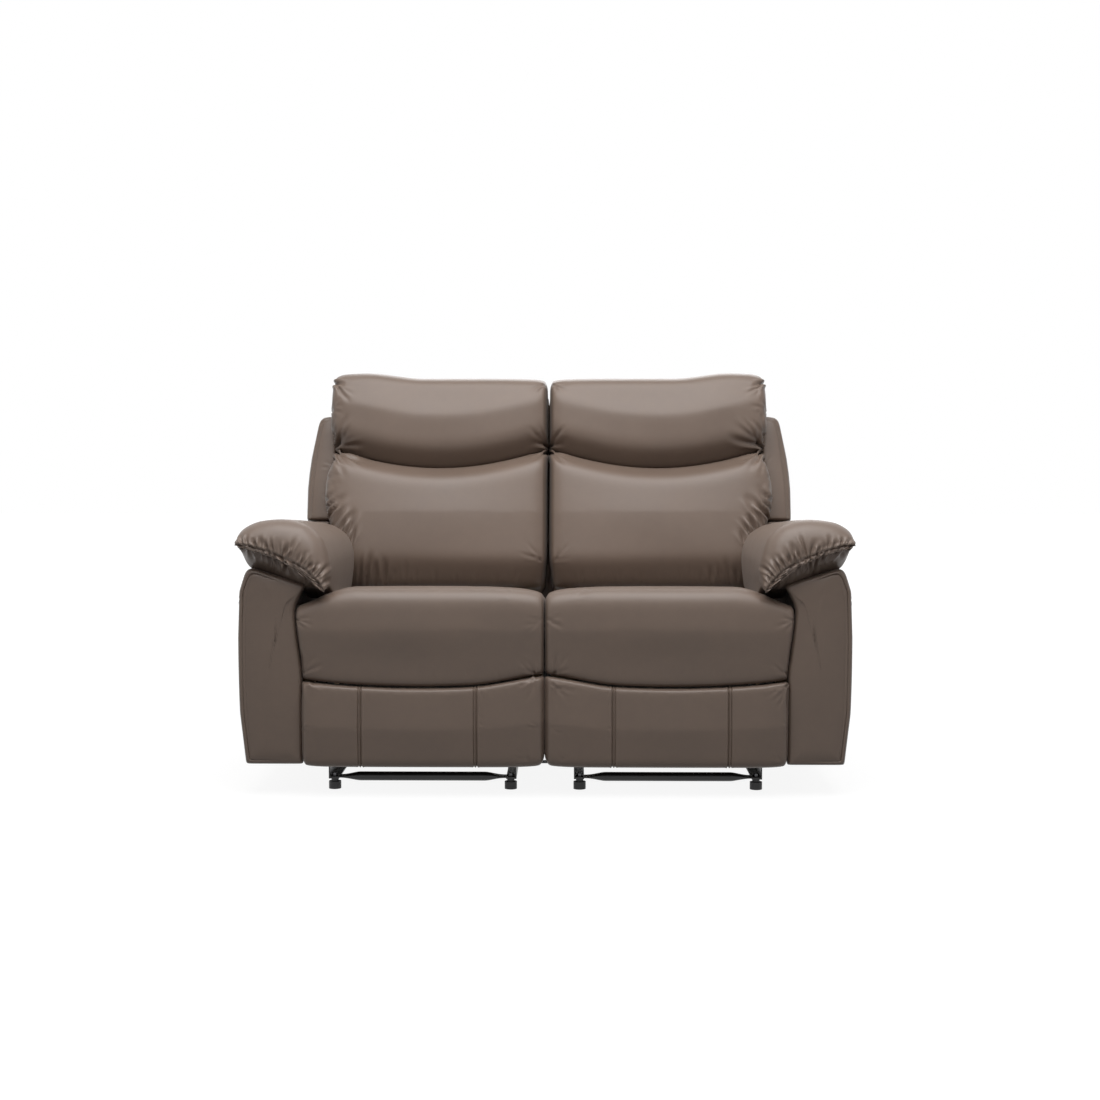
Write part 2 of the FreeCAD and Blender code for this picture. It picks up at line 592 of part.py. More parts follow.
def footrest_pad(side):
    name = side_name(side)
    rear = -size["padRear"]
    radii = [5, 5, 14, 60, 16]
    sections = []
    for share in section_shares():
        end = pull_in(share, 7)
        low = size["padLow"] + 34 * end
        top = size["padTop"] + 13 * share * share - 6 * end
        front = -size["frontFace"] + 4 + 24 * end
        points = [(rear, low + 4), (rear, top), (front + 2, top), (front - 2, (low + top) / 2),
                  (front + 4, low)]
        sections.append(section_across(side, share * size["backHalf"], points, radii))
    keep(f"footrest_pad_{name}", padded_loft(f"pad_{name}", sections))


# Back, in its own leaning frame: along is up the back, front is towards the sitter.

lean = math.radians(size["backLean"])
back_up = Vector(0, math.sin(lean), math.cos(lean))
back_front = Vector(0, -math.cos(lean), math.sin(lean))
back_foot = Vector(0, size["backFootRear"], size["backFootTall"])


def in_back(across, front, along):
    return back_foot + back_front * front + back_up * along + Vector(across, 0, 0)


def leaning_box(name, x, front, along, spans):
    # A box in the back's frame; spans are across, thickness and height.
    box = doc.addObject("Part::Box", name)
    for prop, span in zip(("Length", "Width", "Height"), spans):
        box.setExpression(prop, bound(span))
    corner = in_back(x, front, along)
    box.Placement = FreeCAD.Placement(corner, FreeCAD.Rotation(WIDTH_AXIS, -size["backLean"]))
    return box


back_rails = ((-20, 60), (250, 50), (455, 65))  # height up the back and width of each board
band_heights = (70, 160, 340, 410)


def section_up_back(across, points, radii):
    return outline_wire(points, radii, lambda point: in_back(across, point.x, point.y))


def back(side):
    name = side_name(side)
    centre = side * size["seatCentre"]
    front = size["backFrameFront"]
    wood = "backFrameFront - backShell"
    post_in, post_out = size["backPostIn"], size["backPostOut"]
    pieces = []
    for hand in (-1, 1):
        low = post_in if hand > 0 else -post_out
        pieces.append(leaning_box(f"back_post_{name}_{hand + 1}", centre + low, front,
                                  -size["backPostLow"],
                                  ("backPostOut - backPostIn", wood, "backPostTall")))
    for number, (low, tall) in enumerate(back_rails):
        pieces.append(leaning_box(f"back_rail_{name}_{number}", centre - post_in, front, low,
                                  ("2 * backPostIn", wood, f"{tall}")))
    keep(f"back_frame_{name}", fused(f"back_frame_{name}_glued", pieces))
    bands = [leaning_box(f"band_{name}_{number}", centre - post_out, front + size["bandThick"], low,
                         ("2 * backPostOut", "bandThick", "bandWide"))
             for number, low in enumerate(band_heights)]
    keep(f"back_webbing_{name}", group(f"bands_{name}", bands))
    shell = []
    for share in section_shares():
        end = pull_in(share, 9)
        low, top = 8 * end - size["shellLow"], size["shellTop"] - 20 * end
        points = [(8 * end, low), (size["backShell"], low), (size["backShell"], top), (8 * end, top)]
        shell.append(section_up_back(centre + share * size["backHalf"], points, [4, 2, 2, 10]))
    keep(f"back_shell_{name}", padded_loft(f"shell_{name}", shell))
    fore, level = hinge_in_back()
    ear = size["hingeEar"]
    flat = [(fore + ear, level - ear + 2), (fore + ear, level + ear - 4), (68, -62),
            (66, 150), (34, 150), (32, -80), (fore - ear, level - ear)]
    outline = [(in_back(0, *point).y, in_back(0, *point).z) for point in flat]
    leaves = []
    for half, place in zip(("out", "in"), in_pair(side, "frontLayer", "linkSheet")):
        leaves.append(plate(f"back_bracket_{name}_{half}", outline, size["linkRound"], [yz(hinge)],
                            "hingePin + pinPlay", "linkSheet", place))
    keep(f"back_brackets_{name}", group(f"back_brackets_{name}_pair", leaves))


def hinge_in_back():
    arm = Vector(0, -hinge.x, hinge.y) - back_foot
    return arm.dot(back_front), arm.dot(back_up)


def back_cushions(side):
    name = side_name(side)
    centre = side * size["seatCentre"]
    half = size["backHalf"] - 1.5
    rest = size["backFrameFront"] + size["cushionGap"]
    wrap, shell = size["headWrap"], size["backShell"] + 1
    lumbar, head = [], []
    for share in section_shares():
        end = pull_in(share, 4)
        seam = size["seamTall"] + size["seamRise"] * share * share
        x = centre + share * half
        deep = rest + (size["lumbarDeep"] - rest) * (1 - 0.42 * end)
        low = 26 * end - size["lumbarLow"]
        points = [(rest, low), (deep - 40, low), (deep, 20), (deep - 2, 150), (deep - 44, seam - 12 * end),
                  (rest, seam - 12 * end)]
        lumbar.append(section_up_back(x, points, [10, 30, 60, 60, 20, 8]))
        deep = rest + (size["headDeep"] - rest) * (1 - 0.42 * end)
        top = size["headTop"] - 20 * end
        points = [(rest, seam + 2 + 8 * end), (deep - 18, seam + 2 + 8 * end), (deep, seam + 110),
                  (deep - 30, top - 20), (deep - 80, top), (shell, top), (shell, wrap), (rest, wrap)]
        head.append(section_up_back(x, points, [8, 20, 50, 40, 30, 8, 1, 1]))
    keep(f"lumbar_cushion_{name}", padded_loft(f"lumbar_{name}", lumbar))
    keep(f"head_cushion_{name}", padded_loft(f"head_{name}", head))


# Height up the back, width and drawn-in edge of the wing's sections
wing_levels = ((40, 84, 0), (170, 84, 0), (300, 75, 0), (400, 65, 0), (425, 61, 4), (443, 57, 12),
               (453, 51, 24), (457, 43, 38))


def back_wing(side):
    # The padded outer side of the back; its lower edge is an arc about the recline hinge.
    name = side_name(side)
    deep = size["wingDeep"]
    sections = []
    inner = size["seatCentre"] + size["backHalf"] + 0.5
    for level, wide, shrink in wing_levels:
        outer = inner + wide - shrink * 0.3
        points = [(inner, 2), (outer, 2 + shrink * 0.3), (outer, deep - shrink), (inner, deep - shrink)]
        sections.append(outline_wire(points, [3, 18, 30, 3], lambda point, level=level:
                                     in_back(side * point.x, point.y, level)))
    blank = shaped(f"wing_blank_{name}", Part.makeLoft(sections, True, True))
    sweep = rod_along_x(f"wing_sweep_{name}", side, "armIn - 20", "200", "hingeBehind", "hingeTall",
                        "2 * wingSweep")
    keep(f"back_wing_{name}", cut(f"wing_{name}", blank, sweep))


# Arms

def half_box(side, low, wide, depth, long, bottom, tall):
    # A plain box that spans low to low + wide on the right-hand seat.
    corner = Vector(low if side > 0 else -low - wide, depth, bottom)
    return Part.makeBox(wide, long, tall, corner)


def cross_bore(side, low, wide, depth, tall, radius):
    start = Vector(low if side > 0 else -low - wide, depth, tall)
    return Part.makeCylinder(radius, wide, start, WIDTH_AXIS)


def arm_cover(side):
    # The padded sides: a hollow round the wooden box, with a swept top beside the back.
    name = side_name(side)
    inner, low = size["armIn"], size["armLow"]
    top_in, top_out = size["armTopIn"], size["armTopOut"]
    outer, shoulder = size["armOut"], 709

    def at(across, tall):
        return Vector(side * across, -size["armFront"], tall)

    wire = Part.Wire([
        Part.LineSegment(at(inner, top_in), at(inner, low)).toShape(),
        Part.LineSegment(at(inner, low), at(outer - 12, low)).toShape(),
        Part.Arc(at(outer - 12, low), at(outer + 1, 270), at(outer, 470)).toShape(),
        Part.Arc(at(outer, 470), at(outer - 4, 510), at(shoulder, top_out)).toShape(),
        Part.LineSegment(at(shoulder, top_out), at(inner, top_in)).toShape()])
    long = size["armFront"] + size["armRear"]
    blank = Part.Face(wire).extrude(Vector(0, long, 0))
    hinge_depth, reach = size["hingeBehind"], size["armSweep"]
    sweep = cross_bore(side, 450, 400, hinge_depth, size["hingeTall"], reach)
    beyond = half_box(side, 500, 300, hinge_depth, 220, 440, 200).cut(sweep)
    rear_block = half_box(side, inner, 108, 210, 190, 440, 200)
    blank = blank.cut(beyond).fuse(rear_block.common(sweep))
    cavity = half_box(side, size["cavityIn"], size["cavityWide"], size["cavityEnd"] - size["armFront"],
                      long - 2 * size["cavityEnd"], low - size["overrun"],
                      size["cavityTop"] - low + size["overrun"])
    cable_hole = cross_bore(side, inner - 10, 40, -size["cableDepth"], size["cableTall"], 5)
    cup_hole = half_box(side, size["cupFace"] - size["cupDeep"], 60, -size["cupRear"] - size["cupLong"],
                        size["cupLong"], size["cupLow"], size["cupTall"])
    cover = blank.cut(cavity).cut(cable_hole).cut(cup_hole).removeSplitter()
    keep(f"arm_cover_{name}", shaped(f"arm_cover_{name}_foam", cover))


def arm_frame(side):
    # The wooden box inside the cover.
    name = side_name(side)
    post = ("postWide", "boardSheet", "armBoardTall")
    posts_in, foot, front = "armIn + postIn", "armLow + 4", "0 - armFront + cavityEnd + 1"
    boards = []
    for word, corner, spans in (
            ("inner", ("cavityIn + 1", front, foot), ("postIn - 13", "810", "armBoardTall")),
            ("front_post", (posts_in, front, foot), post),
            ("rear_post", (posts_in, "armRear - 15 - boardSheet", foot), post),
            ("middle_post", (posts_in, "0 - 20", foot), post),
            ("top", (posts_in, f"{front} + boardSheet", "armLow + 374"), ("postWide", "105", "20")),
            ("foot", (posts_in, f"{front} + boardSheet", foot), ("postWide", "774", "20"))):
        boards.append(solid_box(f"arm_{word}_{name}", side, corner, spans))
    glued = fused(f"arm_box_{name}", boards)
    hole = rod_along_x(f"arm_cable_hole_{name}", side, "armIn + 10", "22", "0 - cableDepth", "cableTall",
                       "cableThick + cableRoom")
    keep(f"arm_frame_{name}", cut(f"arm_frame_{name}_bored", glued, hole))


def arm_pad(side):
    # Sections from front to rear; the top falls gently and, beside the back, the inner side draws in.
    name = side_name(side)
    front, rear = size["frontFace"], size["armPadRear"]
    radii = [14, 8, 8, 22, 40, 60, 50, 30]
    sections = []
    for share in section_shares():
        shrink = 40 * pull_in(share, 6)
        depth = (rear - front) / 2 + share * (rear + front) / 2
        fall = size["padFall"] * (depth + front) / (rear + front)
        inset = size["padInset"] * min(1.0, max(0.0, (depth - size["insetFrom"]) / size["insetOver"]))
        points = [(520 + 0.7 * shrink + inset, 508 + 0.1 * inset),
                  (604 + 0.6 * inset, 498 + 0.29 * inset), (709 - 0.5 * shrink, 548),
                  (740 - shrink, 603 - 0.2 * shrink), (706 - shrink, 652 - 0.6 * shrink - 0.85 * fall),
                  (650, 665 - 0.8 * shrink - fall),
                  (556 + 0.5 * shrink + 0.6 * inset, 640 - 0.8 * shrink - 0.8 * fall),
                  (514 + shrink + inset, 574 - 0.3 * fall)]
        sections.append(outline_wire(points, radii, lambda point, depth=depth:
                                     Vector(side * point.x, depth, point.y)))
    keep(f"arm_pad_{name}", padded_loft(f"arm_pad_{name}_foam", sections))


def release_handle(side):
    # The cup let into the arm, the pull paddle on its upright pin and the cable to the mechanism.
    # Both mouldings are drawn from the cup's own inner lower front corner.
    name = side_name(side)
    face, deep, rim_over = size["cupFace"], size["cupDeep"], size["cupRim"]
    wall, low, tall, long = size["cupWall"], size["cupLow"], size["cupTall"], size["cupLong"]
    depth = -size["cupRear"] - long
    room = (long - 2 * wall, tall - 2 * wall)
    pin_at = (deep - 6, wall + 6)
    blade_low, blade_tall = wall + 1.5, tall - 2 * wall - 3

    def rod(radius, height, bottom):
        return Part.makeCylinder(radius, height, Vector(*pin_at, bottom), Vector(0, 0, 1))

    outer = Part.makeBox(deep + 2, long, tall)
    inner = Part.makeBox(deep + 10, *room, Vector(wall, wall, wall))
    rim = Part.makeBox(3, long + 2 * rim_over, tall + 2 * rim_over, Vector(deep + 1, -rim_over, -rim_over))
    rim = rim.cut(Part.makeBox(20, *room, Vector(deep - 5, wall, wall)))
    pin_hole = rod((size["paddlePin"] + size["pinPlay"]) / 2, tall + 20, -10)
    outlet = Part.makeCylinder(size["cableThick"] / 2 + 0.1, 20, Vector(7, long / 2, -10), Vector(0, 0, 1))
    cup = outer.cut(inner).fuse(rim).cut(pin_hole).cut(outlet).removeSplitter()
    blade = Part.makeBox(size["paddleThick"], size["paddleLong"], blade_tall,
                         Vector(deep - 8.5, wall + 9, blade_low))
    lip = Part.makeBox(8, 6, blade_tall, Vector(deep - 11.5, wall + 3 + size["paddleLong"], blade_low))
    barrel, pin = rod(5, blade_tall, blade_low), rod(size["paddlePin"] / 2, tall - 1, 0.5)
    lever = blade.fuse(barrel).fuse(pin).fuse(lip).removeSplitter()
    for word, shape in (("cup", cup), ("paddle", lever)):
        if side < 0:
            shape = shape.mirror(Vector(0, 0, 0), WIDTH_AXIS)
        piece = shaped(f"release_{word}_{name}_moulding", shape)
        piece.Placement = FreeCAD.Placement(Vector(side * (face - deep), depth, low), FreeCAD.Rotation())
        keep(f"release_{word}_{name}", piece)
    x, y, cable_tall = side * (face - deep + 7), -size["cableDepth"], size["cableTall"]
    end = side * (size["seatCentre"] + size["plateLayer"] + size["linkSheet"])
    route = [Vector(x, y, low + 1), Vector(x, y, cable_tall), Vector(end, y, cable_tall)]
    cable = wire_along(route, size["cableBend"], size["cableThick"])
    keep(f"release_cable_{name}", shaped(f"cable_{name}", cable))


base_rails()
for side in (-1, 1):
    mechanism(side)
    seat_box(side)
    seat_cushion(side)
    footrest_pad(side)
    back(side)
    back_cushions(side)
    back_wing(side)
    arm_cover(side)
    arm_frame(side)
    arm_pad(side)
    release_handle(side)
doc.recompute()

failed = [thing.Name for thing in doc.Objects if {"Invalid", "Error"} & set(thing.State)]
for node, piece in parts.items():
    if piece.Shape.isNull() or not piece.Shape.isValid() or not piece.Shape.Solids:
        failed.append(node)
if failed:
    raise RuntimeError("failed: " + ", ".join(failed))
whole = FreeCAD.BoundBox()
for node, piece in parts.items():
    whole.add(piece.Shape.BoundBox)
    piece.Shape.exportStep(f"parts/{node}.step")
print(len(parts), "nodes; box", whole)
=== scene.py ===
import json
import math
import random

import bpy
import numpy as np
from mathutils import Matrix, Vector


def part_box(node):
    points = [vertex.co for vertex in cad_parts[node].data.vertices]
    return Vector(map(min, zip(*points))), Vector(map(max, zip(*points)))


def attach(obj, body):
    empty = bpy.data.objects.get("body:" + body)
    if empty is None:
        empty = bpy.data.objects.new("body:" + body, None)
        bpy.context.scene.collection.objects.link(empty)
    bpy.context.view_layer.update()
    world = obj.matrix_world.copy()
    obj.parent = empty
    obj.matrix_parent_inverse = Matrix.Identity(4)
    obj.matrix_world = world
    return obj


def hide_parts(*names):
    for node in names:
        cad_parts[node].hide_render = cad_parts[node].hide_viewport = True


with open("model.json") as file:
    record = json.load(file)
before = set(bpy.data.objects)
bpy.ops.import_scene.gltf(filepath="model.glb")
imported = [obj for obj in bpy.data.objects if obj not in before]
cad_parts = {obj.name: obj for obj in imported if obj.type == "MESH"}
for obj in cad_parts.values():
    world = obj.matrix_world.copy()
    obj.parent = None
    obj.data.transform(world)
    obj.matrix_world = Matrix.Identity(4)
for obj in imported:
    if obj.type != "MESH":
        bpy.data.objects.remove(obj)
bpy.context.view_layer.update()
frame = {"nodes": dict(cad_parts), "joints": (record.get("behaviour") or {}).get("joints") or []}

sides = (("left", -1), ("right", 1))


def say(text):
    print("stage:", text, flush=True)


# Camera and light

cameraSetup = {
    "place": (0.0656, -4.5576, 0.8664), "aim": (-0.01279, 1.0, -0.06707), "lens": 57.08, "sensor": 36.0}


def addObject(name, data):
    made = bpy.data.objects.new(name, data)
    bpy.context.scene.collection.objects.link(made)
    return made


def makeCamera():
    camera = addObject("camera", bpy.data.cameras.new("camera"))
    camera.location = cameraSetup["place"]
    camera.rotation_mode = "QUATERNION"
    camera.rotation_quaternion = Vector(cameraSetup["aim"]).to_track_quat("-Z", "Y")
    camera.data.lens = cameraSetup["lens"]
    camera.data.sensor_width = cameraSetup["sensor"]
    bpy.context.scene.camera = camera
    bpy.context.scene.view_settings.view_transform = "Standard"


lamps = {
    "overhead": {"place": (0.0, -1.15, 3.1), "aim": (0.0, 0.0, 0.4), "wide": 2.8, "watts": 110.0},
    "frontFill": {"place": (-1.0, -4.2, 2.5), "aim": (0.0, 0.0, 0.55), "wide": 2.2, "watts": 4.5},
    "sideLeft": {"place": (-3.4, -0.8, 1.7), "aim": (0.0, 0.0, 0.5), "wide": 1.8, "watts": 6.5},
    "sideRight": {"place": (3.4, -0.8, 1.7), "aim": (0.0, 0.0, 0.5), "wide": 1.8, "watts": 5.5},
    "behind": {"place": (0.3, 3.6, 2.4), "aim": (0.0, 0.3, 0.5), "wide": 2.6, "watts": 34.0}}


def makeLamps():
    for name, setup in lamps.items():
        data = bpy.data.lights.new(name, "AREA")
        data.size = setup["wide"]
        data.energy = setup["watts"]
        lamp = addObject(name, data)
        lamp.location = setup["place"]
        lamp.rotation_mode = "QUATERNION"
        lamp.rotation_quaternion = (Vector(setup["aim"]) - Vector(setup["place"])).to_track_quat("-Z", "Y")


def addNode(tree, kind, **settings):
    node = tree.nodes.new(kind)
    for key, value in settings.items():
        if key in node.inputs:
            node.inputs[key].default_value = value
        else:
            setattr(node, key, value)
    return node


def link(tree, source, target):
    tree.links.new(source, target)


def feed(tree, value, socket):
    # A number or a colour is set on the socket, anything else is linked to it.
    if isinstance(value, (int, float, tuple)):
        socket.default_value = value
    else:
        link(tree, value, socket)


def mathNode(tree, operation, first, second):
    node = addNode(tree, "ShaderNodeMath", operation=operation)
    feed(tree, first, node.inputs[0])
    feed(tree, second, node.inputs[1])
    return node.outputs[0]


def objectPlace(tree):
    return tree.nodes.new("ShaderNodeTexCoord").outputs["Object"]


def newMaterial(name):
    material = bpy.data.materials.new(name)
    material.use_nodes = True
    return material, material.node_tree, material.node_tree.nodes["Principled BSDF"]


def seenDirectly(tree):
    # 1 where a camera, glossy or transmitted ray sees the surface, 0 for light that bounces.
    path = addNode(tree, "ShaderNodeLightPath")
    mirrored = mathNode(tree, "MAXIMUM", path.outputs["Is Camera Ray"], path.outputs["Is Glossy Ray"])
    return mathNode(tree, "MAXIMUM", mirrored, path.outputs["Is Transmission Ray"])


studio = {
    "ambient": 0.12, "floorColour": (0.09, 0.09, 0.09), "floorHalf": 14.0, "floorDrop": 0.0005,
    "glowNear": 0.90, "glowFar": 1.0, "glowFrom": 0.9, "glowTo": 2.6}


def makeStudio():
    world = bpy.data.worlds.new("studio")
    bpy.context.scene.world = world
    world.use_nodes = True
    tree = world.node_tree
    background = tree.nodes["Background"]
    background.inputs["Color"].default_value = (1, 1, 1, 1)
    strength = addNode(tree, "ShaderNodeMapRange")
    strength.inputs["To Min"].default_value = studio["ambient"]
    strength.inputs["To Max"].default_value = 1.0
    link(tree, seenDirectly(tree), strength.inputs["Value"])
    link(tree, strength.outputs["Result"], background.inputs["Strength"])

    half = studio["floorHalf"]
    mesh = bpy.data.meshes.new("floor")
    corners = [(-half, -half, 0), (half, -half, 0), (half, half, 0), (-half, half, 0)]
    mesh.from_pydata(corners, [], [(0, 1, 2, 3)])
    floor = addObject("floor", mesh)
    floor.location.z = -studio["floorDrop"]
    material, tree, shader = newMaterial("studioFloor")
    shader.inputs["Base Color"].default_value = (*studio["floorColour"], 1)
    shader.inputs["Roughness"].default_value = 0.9
    shader.inputs["Emission Color"].default_value = (1, 1, 1, 1)
    # Seen directly, the floor glows white away from the sofa and less near it, where its shadow lies.
    away = addNode(tree, "ShaderNodeVectorMath", operation="LENGTH")
    link(tree, objectPlace(tree), away.inputs[0])
    glow = addNode(tree, "ShaderNodeMapRange", interpolation_type="SMOOTHSTEP")
    for socket, key in (("From Min", "glowFrom"), ("From Max", "glowTo"),
                        ("To Min", "glowNear"), ("To Max", "glowFar")):
        glow.inputs[socket].default_value = studio[key]
    link(tree, away.outputs["Value"], glow.inputs["Value"])
    shown = mathNode(tree, "MULTIPLY", seenDirectly(tree), glow.outputs["Result"])
    link(tree, shown, shader.inputs["Emission Strength"])
    mesh.materials.append(material)


# Shader groups: each puts out colours, masks and heights only

def newGroup(name, inputs, outputs):
    tree = bpy.data.node_groups.new(name, "ShaderNodeTree")
    for label, kind, value in inputs:
        socket = tree.interface.new_socket(name=label, in_out="INPUT", socket_type="NodeSocket" + kind)
        socket.default_value = value
    for label, kind in outputs:
        tree.interface.new_socket(name=label, in_out="OUTPUT", socket_type="NodeSocket" + kind)
    return tree, tree.nodes.new("NodeGroupInput"), tree.nodes.new("NodeGroupOutput")


def blendColour(tree, share, first, second, mode="MIX"):
    node = addNode(tree, "ShaderNodeMix", data_type="RGBA", blend_type=mode)
    feed(tree, share, node.inputs[0])
    feed(tree, first, node.inputs[6])
    feed(tree, second, node.inputs[7])
    return node.outputs[2]


def textureNode(tree, kind, vector, scale, **settings):
    node = addNode(tree, "ShaderNodeTex" + kind, **settings)
    link(tree, vector, node.inputs["Vector"])
    feed(tree, scale, node.inputs["Scale"])
    return node


def greyNode(tree, value):
    node = tree.nodes.new("ShaderNodeCombineColor")
    for channel in node.inputs:
        link(tree, value, channel)
    return node.outputs[0]


def makeHideGroup():
    # Coated upholstery hide: fine pebble grain, pores, soft mottling and a slight polish on raised places.
    tree, given, made = newGroup(
        "coatedHide",
        (("Tint", "Color", (0.2, 0.16, 0.13, 1)), ("Grain Scale", "Float", 900.0), ("Mottle", "Float", 0.12),
         ("Wear", "Float", 0.25)),
        (("Color", "Color"), ("Roughness", "Float"), ("Height", "Float")))
    place = objectPlace(tree)
    pebble = textureNode(tree, "Voronoi", place, given.outputs["Grain Scale"], feature="SMOOTH_F1",
                         Smoothness=0.6)
    pores = textureNode(tree, "Noise", place, 2600.0, Detail=2.0, Roughness=0.6)
    cloud = textureNode(tree, "Noise", place, 5.5, Detail=4.0, Roughness=0.55)
    patch = textureNode(tree, "Noise", place, 38.0, Detail=3.0, Roughness=0.6)
    height = mathNode(tree, "ADD", mathNode(tree, "MULTIPLY", pebble.outputs["Distance"], 0.8),
                      mathNode(tree, "MULTIPLY", pores.outputs[0], 0.25))
    link(tree, height, made.inputs["Height"])
    mixed = mathNode(tree, "ADD", mathNode(tree, "MULTIPLY", cloud.outputs[0], 0.65),
                     mathNode(tree, "MULTIPLY", patch.outputs[0], 0.35))
    uneven = mathNode(tree, "SUBTRACT", mixed, 0.5)
    swing = mathNode(tree, "MULTIPLY", uneven, given.outputs["Mottle"])
    gain = mathNode(tree, "ADD", 1.0, mathNode(tree, "MULTIPLY", swing, 3.2))
    toned = blendColour(tree, 1.0, given.outputs["Tint"], greyNode(tree, gain), "MULTIPLY")
    raised = tree.nodes.new("ShaderNodeNewGeometry").outputs["Pointiness"]
    edge = tree.nodes.new("ShaderNodeMapRange")
    edge.inputs["From Min"].default_value = 0.52
    edge.inputs["From Max"].default_value = 0.62
    link(tree, raised, edge.inputs["Value"])
    worn = mathNode(tree, "MULTIPLY", edge.outputs[0], given.outputs["Wear"])
    link(tree, blendColour(tree, worn, toned, (0.42, 0.36, 0.31, 1)), made.inputs["Color"])
    rough = mathNode(tree, "ADD", 0.40, mathNode(tree, "MULTIPLY", uneven, 0.22))
    polished = mathNode(tree, "SUBTRACT", rough, mathNode(tree, "MULTIPLY", worn, 0.1))
    link(tree, polished, made.inputs["Roughness"])
    return tree


def makeDustGroup():
    # Handling marks and dust for hard pieces.
    tree, given, made = newGroup(
        "handledSurface",
        (("Tint", "Color", (0.03, 0.03, 0.03, 1)), ("Rough", "Float", 0.5), ("Speckle Scale", "Float", 700.0),
         ("Dust", "Float", 0.1)),
        (("Color", "Color"), ("Roughness", "Float"), ("Height", "Float")))
    place = objectPlace(tree)
    speckle = textureNode(tree, "Noise", place, given.outputs["Speckle Scale"], Detail=2.0)
    cloud = textureNode(tree, "Noise", place, 14.0, Detail=5.0, Roughness=0.6)
    link(tree, speckle.outputs[0], made.inputs["Height"])
    share = mathNode(tree, "MULTIPLY", cloud.outputs[0], given.outputs["Dust"])
    link(tree, blendColour(tree, share, given.outputs["Tint"], (0.32, 0.3, 0.28, 1)), made.inputs["Color"])
    swing = mathNode(tree, "MULTIPLY", mathNode(tree, "SUBTRACT", cloud.outputs[0], 0.5), 0.3)
    link(tree, mathNode(tree, "ADD", given.outputs["Rough"], swing), made.inputs["Roughness"])
    return tree


def bumpInto(tree, shader, height, strength, distance):
    bump = addNode(tree, "ShaderNodeBump", Strength=strength, Distance=distance)
    link(tree, height, bump.inputs["Height"])
    link(tree, bump.outputs[0], shader.inputs["Normal"])


def groupNode(tree, group, **values):
    node = tree.nodes.new("ShaderNodeGroup")
    node.node_tree = group
    for key, value in values.items():
        node.inputs[key.replace("_", " ")].default_value = value
    return node


def hideMaterial(name, tint, mottle, bump):
    material, tree, shader = newMaterial(name)
    hide = groupNode(tree, hideGroup, Tint=(*tint, 1), Grain_Scale=620.0, Mottle=mottle, Wear=0.1)
    link(tree, hide.outputs["Color"], shader.inputs["Base Color"])
    link(tree, hide.outputs["Roughness"], shader.inputs["Roughness"])
    shader.inputs["Specular IOR Level"].default_value = 0.42
    shader.inputs["Sheen Weight"].default_value = 0.08
    shader.inputs["Sheen Roughness"].default_value = 0.4
    bumpInto(tree, shader, hide.outputs["Height"], bump, 0.0006)
    return material


def hardMaterial(name, tint, rough, speckle, dust, bump, metallic=0.0):
    material, tree, shader = newMaterial(name)
    made = groupNode(tree, dustGroup, Tint=(*tint, 1), Rough=rough, Speckle_Scale=speckle, Dust=dust)
    link(tree, made.outputs["Color"], shader.inputs["Base Color"])
    link(tree, made.outputs["Roughness"], shader.inputs["Roughness"])
    shader.inputs["Metallic"].default_value = metallic
    bumpInto(tree, shader, made.outputs["Height"], bump, 0.0004)
    return material


def wovenMaterial(name, tint, threads, bump, rough):
    material, tree, shader = newMaterial(name)
    place = objectPlace(tree)
    across = textureNode(tree, "Wave", place, threads, bands_direction="X", Distortion=0.6)
    along = textureNode(tree, "Wave", place, threads, bands_direction="Z", Distortion=0.6)
    height = mathNode(tree, "MAXIMUM", across.outputs["Fac"], along.outputs["Fac"])
    made = groupNode(tree, dustGroup, Tint=(*tint, 1), Rough=rough, Speckle_Scale=400.0, Dust=0.16)
    shade = mathNode(tree, "ADD", 0.7, mathNode(tree, "MULTIPLY", height, 0.5))
    colour = blendColour(tree, 1.0, made.outputs["Color"], greyNode(tree, shade), "MULTIPLY")
    link(tree, colour, shader.inputs["Base Color"])
    link(tree, made.outputs["Roughness"], shader.inputs["Roughness"])
    bumpInto(tree, shader, height, bump, 0.0008)
    return material


def plywoodMaterial():
    material, tree, shader = newMaterial("rawPlywood")
    place = objectPlace(tree)
    stretch = addNode(tree, "ShaderNodeMapping")
    stretch.inputs["Scale"].default_value = (1.0, 0.12, 1.0)
    link(tree, place, stretch.inputs["Vector"])
    grain = textureNode(tree, "Noise", stretch.outputs[0], 60.0, Detail=6.0, Roughness=0.65)
    plies = textureNode(tree, "Wave", place, 190.0, bands_direction="X", Distortion=1.2)
    tone = blendColour(tree, grain.outputs[0], (0.36, 0.235, 0.125, 1), (0.66, 0.49, 0.31, 1))
    darker = mathNode(tree, "MULTIPLY", plies.outputs["Fac"], 0.3)
    tone = blendColour(tree, darker, tone, (0.27, 0.17, 0.09, 1))
    link(tree, tone, shader.inputs["Base Color"])
    link(tree, mathNode(tree, "ADD", 0.55, mathNode(tree, "MULTIPLY", grain.outputs[0], 0.3)),
         shader.inputs["Roughness"])
    bumpInto(tree, shader, grain.outputs[0], 0.25, 0.0006)
    return material


# Shapes

def smoothStep(low, high, value):
    share = np.clip((np.asarray(value, float) - low) / (high - low), 0.0, 1.0)
    return share * share * (3 - 2 * share)


def pullIn(share, power):
    # 0 over most of the width, rising to 1 at the ends as a rounded edge does.
    return 1 - max(0.0, 1 - abs(share) ** power) ** (1 / power)


